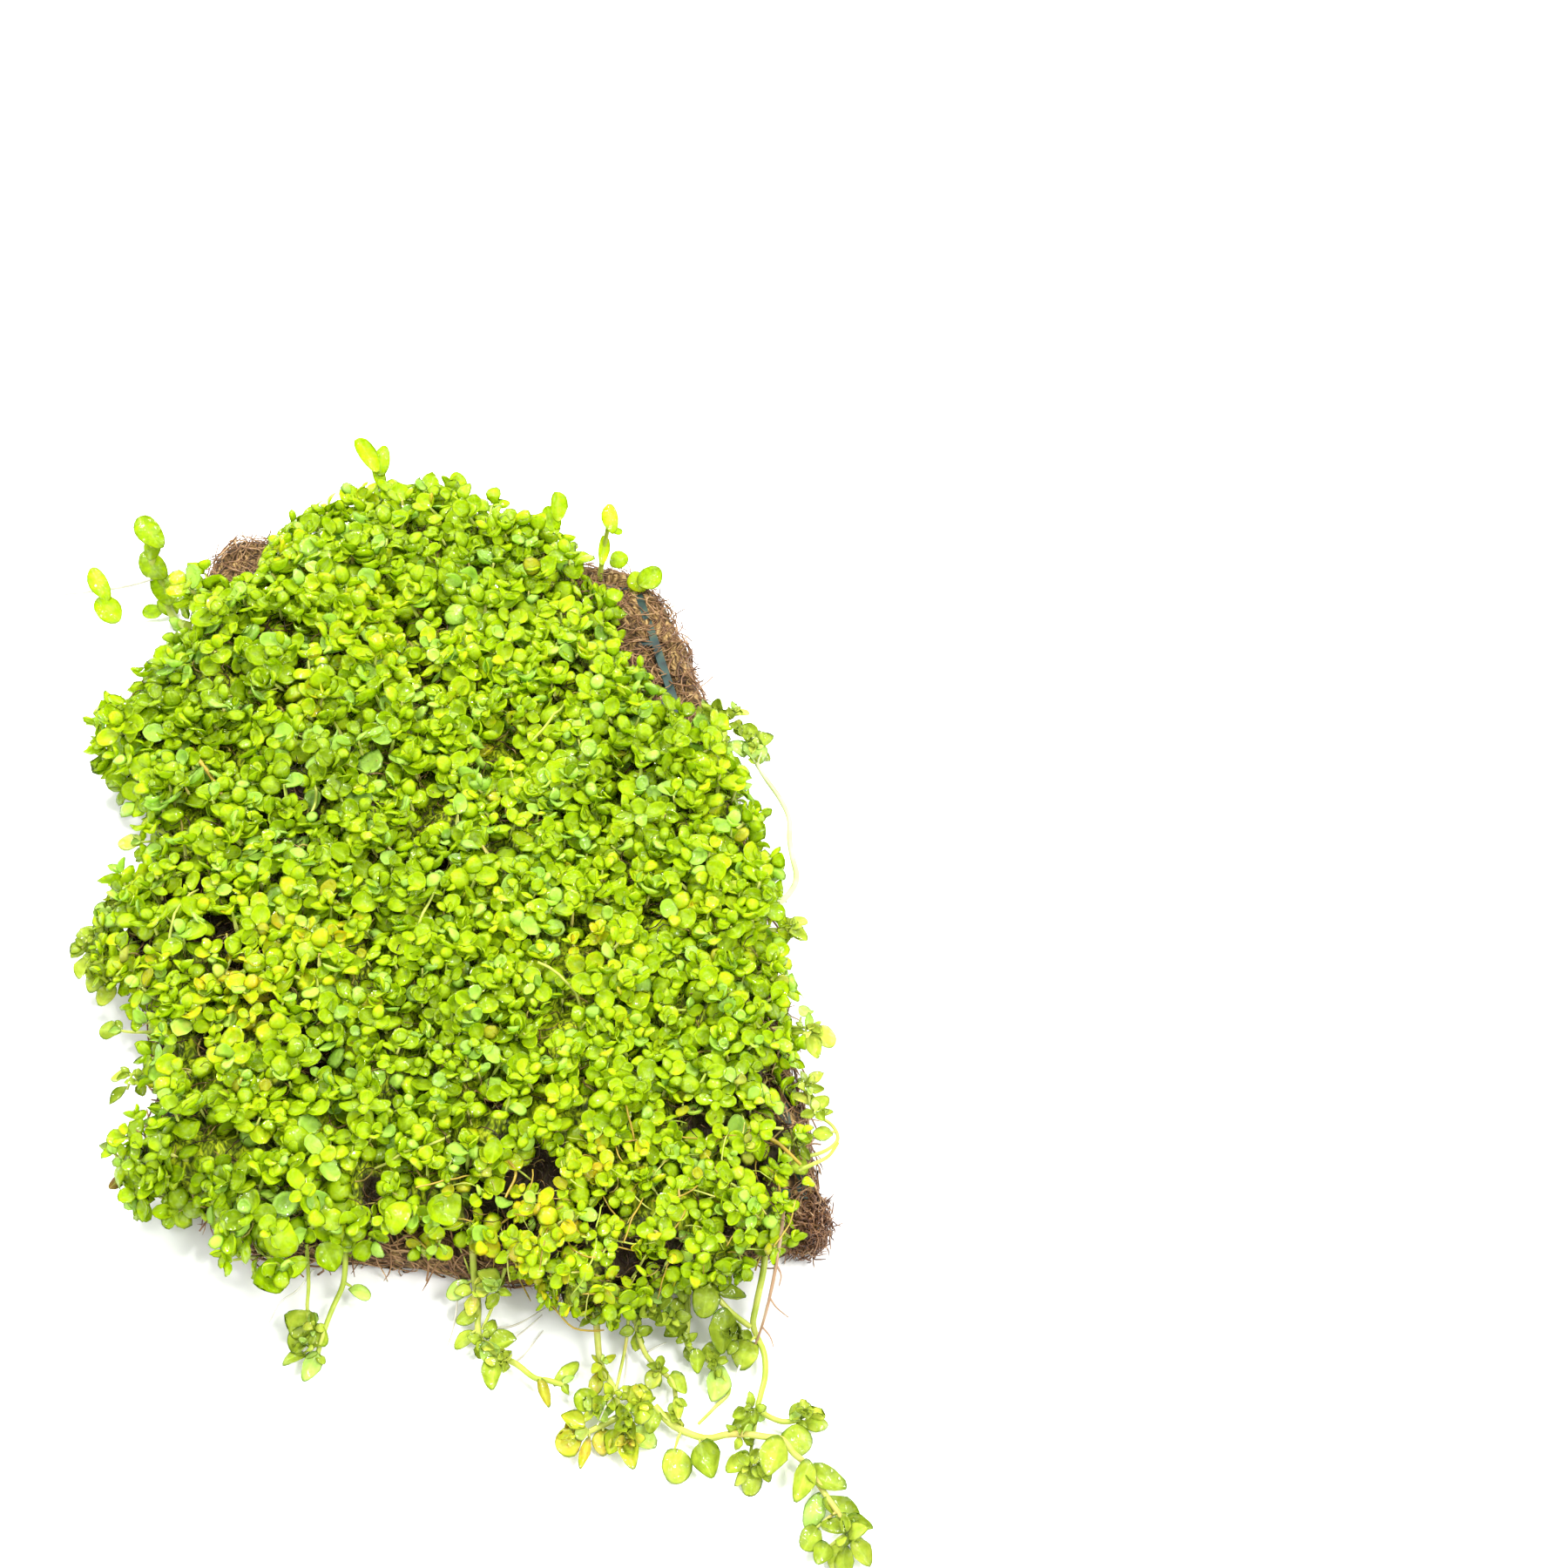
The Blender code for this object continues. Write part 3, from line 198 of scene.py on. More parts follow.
# Shoots and runners: stems and roots as (radius, points), leaves as (centre x, y, z, half-width,
# half-length) and young sprigs as (x, y, z, size). The leaves of the far shoots face the way VIEWER
# points, and their sixth number is the turn clockwise from upright in degrees
STEM = 0.40
THIN = 0.22
ROOT = 0.14
VIEWER = (0.1, -0.8, 0.6)
SHOOTS = {
    "runner_tail": {
        "stems": ((STEM, ((17.9, -77.9, 2.0), (19.7, -80.1, 1.8), (22.7, -81.7, 1.7), (24.9, -81.9, 2.4),
                          (26.7, -82.3, 3.0), (29.0, -82.9, 3.1), (30.6, -83.3, 2.9), (31.6, -84.6, 2.4),
                          (32.7, -85.7, 2.0), (34.2, -88.7, 1.8), (35.3, -91.0, 1.9), (36.1, -93.2, 1.9))),),
        "leaves": ((19.6, -84.0, 1.5, 1.5, 1.9), (22.6, -84.0, 1.6, 1.5, 1.9), (29.6, -84.9, 2.6, 1.6, 1.9),
                   (32.5, -83.3, 3.0, 1.6, 1.8), (32.1, -87.4, 1.6, 1.2, 2.1), (34.3, -87.2, 2.6, 1.3, 2.2),
                   (33.1, -90.2, 1.6, 1.1, 2.0), (35.5, -90.4, 2.4, 1.2, 2.0), (32.2, -92.8, 1.4, 1.1, 1.5),
                   (37.0, -92.3, 2.6, 0.8, 1.4), (37.0, -94.8, 1.8, 1.0, 1.5), (34.6, -94.8, 1.4, 1.2, 1.6),
                   (33.2, -94.5, 1.0, 1.1, 1.1), (17.4, -79.4, 1.4, 0.9, 1.3)),
        "sprigs": ((35.5, -93.6, 2.0, 1.25), (26.4, -82.0, 2.4, 0.7), (19.4, -79.4, 1.4, 0.6)),
    },
    "runner_long": {
        "stems": ((STEM, ((31.8, -58.5, 8.4), (31.8, -60.5, 6.8), (31.2, -64.6, 5.0), (29.9, -68.4, 3.2),
                          (29.3, -70.6, 2.5), (30.1, -73.4, 2.0), (29.9, -75.9, 1.8), (29.1, -78.0, 1.7),
                          (28.8, -79.4, 1.6), (30.8, -80.8, 1.5), (32.5, -81.0, 1.6))),
                  (STEM, ((22.8, -61.0, 8.0), (24.2, -65.4, 5.4), (26.6, -68.6, 3.4), (29.0, -70.7, 2.6))),
                  (THIN, ((28.7, -79.2, 1.6), (27.8, -82.0, 1.1), (27.1, -84.4, 1.1)))),
        "roots": ((0.16, ((33.0, -62.0, 6.0), (32.2, -66.4, 4.4), (31.0, -68.7, 3.2), (29.8, -71.0, 2.4))),
                  (ROOT, ((27.4, -74.3, 1.6), (26.6, -75.6, 0.8), (25.3, -76.8, 0.5), (23.6, -78.6, 0.4),
                          (22.4, -79.7, 0.3)))),
        "leaves": ((24.3, -67.6, 4.4, 1.5, 2.4), (27.0, -67.4, 4.6, 1.0, 1.7), (26.0, -71.2, 3.2, 1.6, 2.3),
                   (27.9, -73.2, 2.8, 1.7, 1.6), (27.4, -80.3, 1.8, 1.1, 1.6), (33.0, -80.2, 2.0, 1.0, 1.3),
                   (34.5, -81.4, 1.7, 1.0, 1.4), (25.7, -84.7, 1.2, 1.0, 1.5), (27.2, -86.3, 1.1, 1.1, 1.6),
                   (28.4, -85.6, 1.3, 0.9, 1.2)),
        "sprigs": ((27.7, -79.7, 1.8, 0.9), (26.9, -85.0, 1.2, 0.85), (33.5, -80.8, 1.6, 0.8),
                   (27.6, -71.6, 2.6, 0.8), (25.0, -65.4, 5.0, 1.0), (30.4, -62.4, 6.4, 0.9)),
    },
    "runner_right": {
        "stems": ((STEM, ((22.6, -60.5, 8.0), (22.5, -65.2, 4.2), (22.3, -68.6, 2.7), (22.0, -71.6, 2.1),
                          (23.5, -73.1, 2.0), (24.8, -74.2, 1.9))),
                  (THIN, ((24.6, -74.1, 1.8), (26.0, -76.6, 1.1), (24.2, -78.3, 0.9), (22.3, -79.8, 0.8)))),
        "leaves": ((21.1, -67.6, 2.8, 0.9, 1.4), (20.9, -70.0, 2.3, 0.9, 1.4), (24.8, -76.0, 1.7, 1.4, 1.8),
                   (24.6, -72.6, 2.4, 1.0, 1.5), (23.0, -73.6, 1.7, 0.9, 1.3)),
        "sprigs": ((21.8, -71.4, 1.8, 0.7), (22.2, -65.6, 4.2, 0.9), (24.4, -73.8, 1.7, 0.7)),
    },
    "runner_middle": {
        "stems": ((0.32, ((16.6, -64.0, 8.0), (16.6, -69.0, 3.6), (17.3, -71.9, 2.2), (18.6, -73.8, 2.0),
                          (20.0, -75.4, 1.8), (20.2, -77.4, 1.6))),),
        "roots": ((ROOT, ((17.7, -71.8, 1.9), (18.8, -71.0, 1.2), (19.8, -70.5, 0.8))),),
        "leaves": ((18.0, -74.9, 1.9, 0.9, 1.3), (20.4, -75.9, 1.9, 1.0, 1.4), (20.2, -78.4, 1.6, 0.6, 1.2),
                   (18.4, -67.4, 5.2, 1.0, 1.5), (14.9, -67.0, 5.4, 0.9, 1.3)),
        "sprigs": ((18.8, -73.9, 1.8, 0.65), (16.7, -69.6, 2.8, 0.85), (14.9, -68.0, 4.6, 0.95),
                   (18.5, -68.6, 4.2, 0.95), (20.3, -69.2, 3.8, 0.9), (16.6, -67.4, 5.4, 0.9)),
    },
    "runner_left": {
        "stems": ((STEM, ((-0.4, -57.5, 8.0), (-0.5, -61.9, 4.4), (-0.2, -64.7, 2.6), (-0.3, -66.9, 2.1),
                          (0.1, -68.8, 2.0), (1.8, -70.4, 2.0), (3.7, -71.6, 2.0), (5.5, -73.2, 1.8),
                          (7.0, -73.7, 1.8), (8.6, -74.4, 1.8))),
                  (THIN, ((3.0, -62.5, 6.0), (1.6, -65.2, 3.8), (0.2, -67.4, 2.2)))),
        "roots": ((ROOT, ((0.2, -66.8, 2.2), (2.4, -67.1, 1.5), (4.5, -66.5, 1.2), (7.2, -64.9, 0.9))),
                  (ROOT, ((1.0, -68.8, 1.9), (2.8, -68.6, 1.2), (4.6, -67.4, 0.9), (6.6, -65.7, 0.7))),
                  (ROOT, ((3.6, -71.2, 1.7), (4.6, -70.0, 0.8), (6.6, -67.4, 0.4))),
                  (0.14, ((-2.2, -62.6, 4.0), (-2.6, -65.2, 2.2), (-3.2, -67.0, 1.0), (-3.8, -68.2, 0.4)))),
        "leaves": ((-2.2, -63.2, 3.4, 1.0, 1.5), (1.4, -63.8, 3.6, 1.0, 1.5), (2.2, -68.9, 2.4, 1.2, 1.6),
                   (-1.7, -68.2, 2.2, 0.8, 1.3), (1.4, -72.3, 1.5, 1.2, 1.7), (6.3, -75.2, 1.5, 0.6, 1.7),
                   (8.9, -73.1, 2.2, 0.8, 1.8), (0.9, -69.9, 1.6, 1.1, 1.3), (-1.2, -65.8, 2.2, 0.9, 1.6)),
        "sprigs": ((0.4, -68.6, 2.0, 0.85), (-0.4, -63.8, 3.6, 1.0), (2.2, -64.4, 4.4, 0.8),
                   (2.2, -71.4, 1.6, 0.7)),
    },
    "runner_centre": {
        "stems": ((STEM, ((12.4, -64.0, 8.0), (12.4, -69.6, 3.6), (12.6, -72.8, 2.2), (13.8, -75.6, 2.0),
                          (14.2, -78.4, 2.0), (14.6, -80.4, 1.7))),
                  (THIN, ((15.9, -65.0, 7.0), (15.8, -68.8, 3.6), (15.2, -71.6, 2.3), (13.9, -76.0, 2.1))),
                  (STEM, ((14.1, -78.5, 1.9), (12.2, -79.2, 1.9), (10.4, -79.8, 1.8)))),
        "roots": ((0.16, ((15.4, -70.2, 2.4), (15.3, -73.0, 1.8), (14.4, -76.8, 2.6))),
                  (ROOT, ((14.6, -76.0, 2.6), (13.0, -77.4, 3.0), (11.8, -79.4, 2.6)))),
        "leaves": ((8.8, -80.4, 1.8, 1.4, 1.5), (9.3, -78.6, 2.3, 0.9, 1.4), (10.4, -81.7, 1.5, 0.6, 1.5),
                   (12.2, -80.7, 1.6, 1.1, 1.3), (14.9, -82.1, 1.6, 1.1, 1.8), (16.5, -80.8, 1.6, 1.1, 1.5),
                   (16.2, -76.6, 2.6, 1.2, 1.5), (10.9, -76.6, 2.2, 1.3, 1.5), (11.8, -74.6, 2.3, 0.8, 1.4),
                   (13.6, -80.9, 1.9, 1.1, 1.4), (16.8, -78.4, 1.9, 1.1, 1.4), (13.6, -77.0, 3.2, 0.9, 1.4)),
        "sprigs": ((13.7, -76.5, 2.2, 0.8), (16.2, -77.4, 2.0, 0.75), (11.9, -77.9, 2.2, 0.8),
                   (15.2, -79.2, 2.2, 0.9), (14.9, -80.9, 1.6, 0.7), (12.6, -73.0, 2.4, 0.75),
                   (9.4, -79.6, 1.6, 0.7), (12.5, -68.4, 4.2, 0.9)),
    },
    "shoot_front_left": {
        "stems": ((0.34, ((-14.0, -55.5, 7.0), (-14.3, -59.8, 4.4), (-14.7, -61.2, 3.1), (-15.6, -63.0, 2.5),
                          (-16.3, -64.8, 2.1), (-16.9, -67.0, 1.8), (-17.1, -67.9, 1.7))),
                  (THIN, ((-18.2, -57.5, 6.4), (-18.1, -61.0, 4.2), (-18.3, -63.2, 2.9), (-17.9, -65.4, 2.2),
                          (-17.0, -67.3, 1.8)))),
        "roots": ((ROOT, ((-17.6, -59.6, 4.6), (-19.4, -61.2, 3.4), (-21.2, -61.8, 2.4),
                          (-22.6, -63.3, 0.8))),),
        "leaves": ((-12.9, -62.2, 2.7, 0.8, 1.6), (-18.7, -64.7, 2.8, 1.7, 1.6),
                   (-18.8, -66.5, 2.2, 1.5, 1.4), (-19.4, -68.1, 1.6, 0.9, 1.3),
                   (-17.8, -69.1, 1.5, 1.0, 1.5), (-17.4, -66.0, 2.4, 1.2, 1.5)),
        "sprigs": ((-18.3, -67.4, 1.8, 0.8), (-17.8, -65.4, 2.3, 0.7)),
    },
    "shoot_far_tip": {
        "stems": ((0.7, ((-12.5, 75.5, 6.0), (-14.0, 78.4, 8.4), (-14.2, 79.0, 11.4), (-14.6, 79.0, 14.6))),),
        "leaves": ((-14.0, 78.4, 9.6, 1.4, 2.0, 10.0), (-14.4, 78.9, 12.6, 1.0, 2.2, -6.0),
                   (-15.5, 79.0, 16.9, 1.4, 3.4, -24.0), (-13.4, 79.0, 15.7, 1.3, 2.7, 14.0)),
    },
    "shoot_far_pair": {
        "stems": ((STEM, ((-4.0, 72.0, 9.0), (-3.8, 77.2, 9.0), (-3.9, 78.0, 9.6))),),
        "leaves": ((-5.9, 77.8, 11.2, 1.5, 2.1, -4.0), (-1.7, 77.8, 11.4, 1.5, 2.1, 6.0),
                   (-3.9, 77.4, 9.4, 1.6, 1.6, 0.0), (-6.2, 77.4, 8.4, 1.6, 1.5, -30.0),
                   (-1.4, 77.2, 8.4, 1.7, 1.5, 30.0)),
    },
    "shoot_far_left": {
        "stems": ((0.7, ((-42.5, 49.0, 7.0), (-46.0, 56.0, 2.6), (-47.9, 60.8, 2.6), (-47.7, 60.9, 5.6),
                         (-48.6, 61.0, 9.6), (-47.9, 61.0, 13.0), (-47.6, 61.0, 15.2))),),
        "leaves": ((-47.8, 60.9, 1.8, 1.7, 2.0, 4.0), (-50.4, 60.7, 0.9, 1.2, 1.6, -100.0),
                   (-47.8, 60.9, 5.2, 1.8, 2.8, -10.0), (-48.5, 61.0, 9.5, 1.9, 2.8, -36.0),
                   (-48.0, 61.1, 12.8, 1.2, 2.0, 10.0), (-47.7, 61.0, 15.9, 2.0, 2.8, -24.0),
                   (-55.7, 56.0, 10.2, 1.4, 2.9, -12.0), (-55.5, 56.2, 5.0, 1.9, 2.4, -34.0)),
        "roots": ((0.38, ((-48.2, 60.0, 8.2), (-52.0, 57.6, 8.6), (-57.0, 57.0, 8.2), (-61.8, 57.0, 7.8))),),
    },
    "shoot_far_right": {
        "stems": ((0.7, ((11.0, 60.0, 6.5), (12.9, 65.4, 6.0), (13.3, 66.0, 9.4), (14.0, 66.0, 12.6))),),
        "leaves": ((13.1, 66.0, 8.8, 1.2, 2.4, 6.0), (13.4, 66.1, 12.0, 1.6, 2.4, -8.0),
                   (14.6, 66.0, 14.7, 1.4, 2.6, 14.0)),
    },
    "shoot_far_stalk": {
        "stems": ((0.5, ((20.6, 57.0, 3.8), (21.1, 57.8, 8.2), (21.9, 58.0, 13.2), (22.4, 58.0, 16.2))),),
        "leaves": ((22.7, 58.0, 17.6, 1.3, 2.5, 4.0), (23.5, 57.9, 15.2, 0.6, 1.0, 110.0),
                   (21.5, 58.0, 11.6, 0.9, 2.6, 12.0), (23.9, 57.9, 9.6, 1.4, 1.7, 76.0)),
    },
    "shoot_far_corner": {
        "stems": ((0.4, ((25.2, 52.4, 5.6), (26.4, 53.4, 6.6), (27.8, 53.9, 7.6))),),
        "leaves": ((26.6, 54.0, 7.9, 1.5, 1.9, -24.0), (28.5, 54.0, 8.8, 1.8, 2.3, 58.0),
                   (25.8, 53.4, 4.8, 0.9, 2.1, 190.0)),
    },
    "shoot_left_leaf": {
        "stems": ((THIN, ((-38.0, 3.0, 8.0), (-42.4, 2.9, 8.0), (-43.2, 2.9, 8.0))),),
        "leaves": ((-44.4, 2.8, 8.2, 1.4, 1.6),),
    },
    "shoot_left_middle": {
        "stems": ((0.3, ((-42.0, -12.8, 6.6), (-47.6, -13.0, 6.2), (-48.4, -13.0, 6.2))),),
        "leaves": ((-48.2, -10.8, 6.6, 1.3, 1.4), (-48.4, -13.6, 6.2, 1.3, 1.4),
                   (-47.6, -16.4, 6.2, 1.3, 1.4), (-45.8, -18.8, 6.6, 1.2, 1.4),
                   (-46.2, -8.2, 7.2, 1.2, 1.4), (-44.2, -21.2, 6.4, 1.2, 1.4)),
        "sprigs": ((-46.6, -12.4, 6.8, 1.0), (-45.2, -9.6, 7.4, 1.05), (-45.4, -16.8, 7.0, 1.05),
                   (-43.2, -19.2, 7.2, 1.0), (-42.8, -8.4, 7.8, 1.1)),
    },
    "shoot_left_stalk": {
        "stems": ((THIN, ((-36.0, -28.0, 7.2), (-40.2, -27.6, 7.2), (-41.6, -27.2, 7.2))),),
        "leaves": ((-43.0, -26.9, 7.2, 1.1, 1.5),),
    },
    "shoot_left_lower": {
        "stems": ((THIN, ((-34.6, -33.2, 7.2), (-38.8, -33.4, 6.8), (-40.0, -33.3, 6.6))),),
        "leaves": ((-41.1, -33.0, 6.6, 0.9, 1.3), (-40.6, -36.0, 6.0, 0.6, 1.4)),
        "sprigs": ((-38.6, -34.4, 6.4, 0.8),),
    },
    "shoot_left_wilted": {
        "stems": ((THIN, ((-35.0, -45.8, 6.2), (-38.8, -45.0, 5.6), (-40.9, -42.2, 5.0))),),
        "leaves": ((-39.3, -46.8, 5.4, 0.7, 1.4),),
    },
    "shoot_right_arc": {
        "stems": ((0.46, ((36.5, -16.0, 7.0), (40.2, -14.4, 7.0), (42.2, -12.2, 7.0), (43.1, -9.6, 6.6),
                          (43.1, -6.4, 6.4), (43.2, -2.8, 6.3), (43.7, 0.5, 6.3), (43.5, 2.9, 6.4),
                          (42.8, 5.6, 6.5), (41.5, 8.8, 6.8), (40.5, 11.6, 7.2))),),
        "leaves": ((40.6, 13.6, 8.3, 1.8, 2.2), (41.8, 15.4, 8.4, 1.3, 1.8), (39.8, 16.6, 8.6, 1.5, 2.0),
                   (38.2, 14.6, 8.4, 1.5, 1.8)),
        "sprigs": ((40.4, 13.4, 7.8, 0.9), (39.6, 16.2, 8.0, 0.9)),
    },
    "shoot_right_tip": {
        "stems": ((0.3, ((34.5, 20.0, 8.5), (38.4, 21.4, 8.4))),),
        "leaves": ((39.4, 21.8, 8.6, 1.0, 1.6),),
        "sprigs": ((38.0, 21.0, 8.2, 0.8), (34.6, 19.8, 8.6, 1.2), (36.4, 20.8, 8.4, 1.1),
                   (35.6, 17.6, 9.0, 1.2), (33.6, 17.0, 9.2, 1.1), (37.2, 18.6, 8.4, 1.0),
                   (32.8, 19.6, 8.2, 1.0)),
    },
    "shoot_right_upper": {
        "stems": ((0.3, ((35.5, -21.0, 8.5), (40.4, -20.0, 8.4))),),
        "leaves": ((42.0, -18.9, 8.6, 0.9, 1.5), (41.2, -21.6, 8.0, 1.2, 1.4)),
        "sprigs": ((40.6, -20.2, 8.0, 0.8),),
    },
    "shoot_right_pair": {
        "stems": ((THIN, ((35.5, -35.5, 8.2), (38.6, -35.5, 8.1), (41.0, -35.9, 8.1))),),
        "leaves": ((42.4, -36.9, 8.5, 1.6, 1.8), (40.4, -38.7, 7.8, 1.2, 1.6), (40.6, -33.2, 8.0, 1.0, 1.5)),
        "sprigs": ((40.2, -36.2, 8.0, 0.9),),
    },
    "shoot_right_lower": {
        "stems": ((0.26, ((30.0, -52.0, 7.4), (34.4, -52.6, 7.0), (38.8, -52.6, 6.6), (41.6, -51.0, 6.4),
                          (41.4, -48.9, 6.5), (39.4, -46.8, 6.8), (39.2, -43.4, 7.0))),),
        "leaves": ((40.2, -49.8, 7.0, 1.1, 1.3), (40.4, -46.4, 7.2, 1.1, 1.3), (40.6, -42.6, 7.0, 1.0, 1.3),
                   (38.2, -44.9, 7.2, 1.0, 1.3), (36.2, -50.8, 7.6, 1.1, 1.4), (36.6, -54.6, 7.0, 1.1, 1.4)),
        "sprigs": ((39.0, -43.6, 6.8, 0.9), (39.8, -47.2, 6.6, 0.8), (37.0, -51.6, 7.0, 0.9)),
    },
}
ROOT_THREAD = ((33.7, -60.4, 9.2), (33.1, -63.0, 9.4), (32.4, -65.5, 8.4), (31.6, -67.9, 7.2),
               (30.7, -70.2, 5.6), (29.9, -71.6, 3.4), (29.0, -72.8, 1.2))

# Tuft of loose fibre at the near-right corner
TUFT_PLACE = (36.7, -59.2, 3.3)
TUFT_RADII = (2.1, 3.3, 2.7)

# Floor and light: the softboxes as name, place, side and watts
FLOOR_SIZE = 3000.0
FLOOR_CLEARANCE = 0.05
ROOM_STRENGTH = 1.54
SOFTBOXES = (
    ("window", (-120.0, 200.0, 440.0), 90.0, 2.75),
    ("fill", (240.0, -220.0, 400.0), 160.0, 1.8),
    ("lamp", (40.0, 40.0, 520.0), 40.0, 0.9),
)

# Kinds of node that come up often
MATH = "ShaderNodeMath"
RANGE = "ShaderNodeMapRange"
NOISE = "ShaderNodeTexNoise"
RAMP = "ShaderNodeValToRGB"
MIX = "ShaderNodeMix"
BUMP = "ShaderNodeBump"


def linear(sheet_colour):
    """An sRGB hex colour as linear red, green, blue and full alpha."""
    parts = [int(sheet_colour[i:i + 2], 16) / 255.0 for i in (1, 3, 5)]
    return tuple(p / 12.92 if p <= 0.04045 else ((p + 0.055) / 1.055) ** 2.4 for p in parts) + (1.0,)


def add(tree, kind, inputs=(), out=0, stops=(), **settings):
    """Add one node with its settings and, for a colour ramp, its (place, hex colour) stops. The inputs,
    in order or by name, take values, hex colours or other nodes' sockets. One of the node's outputs
    comes back, or all of them where out is None."""
    node = tree.nodes.new(kind)
    for name, value in settings.items():
        setattr(node, name, value)
    for place, _ in stops[2:]:
        node.color_ramp.elements.new(place)
    for i, (place, sheet_colour) in enumerate(stops):
        node.color_ramp.elements[i].position = place
        node.color_ramp.elements[i].color = linear(sheet_colour)
    for key, value in inputs.items() if isinstance(inputs, dict) else enumerate(inputs):
        if isinstance(value, bpy.types.NodeSocket):
            tree.links.new(value, node.inputs[key])
        elif str(value).startswith("#"):
            node.inputs[key].default_value = linear(value)
        else:
            node.inputs[key].default_value = value
    return node.outputs[out] if node.outputs and out is not None else node.outputs


def features(size_mm):
    """The noise scale that makes its largest features about size_mm across."""
    return 1.0 / (size_mm * MM)


# Finishes

def new_finish(name):
    """An empty material, its tree, and the place on the object that its patterns are drawn by."""
    material = bpy.data.materials.new(name)
    material.use_nodes = True
    tree = material.node_tree
    tree.nodes.clear()
    return material, tree, add(tree, "ShaderNodeTexCoord", out="Object")


def drawn_lot(tree, tint, tone, turn, share):
    """A number from 0 to 1 that differs from leaf to leaf."""
    turned = add(tree, MATH, (tint, turn), operation="MULTIPLY")
    moved = add(tree, MATH, (tone, share, turned), operation="MULTIPLY_ADD")
    return add(tree, MATH, (moved,), operation="FRACT")


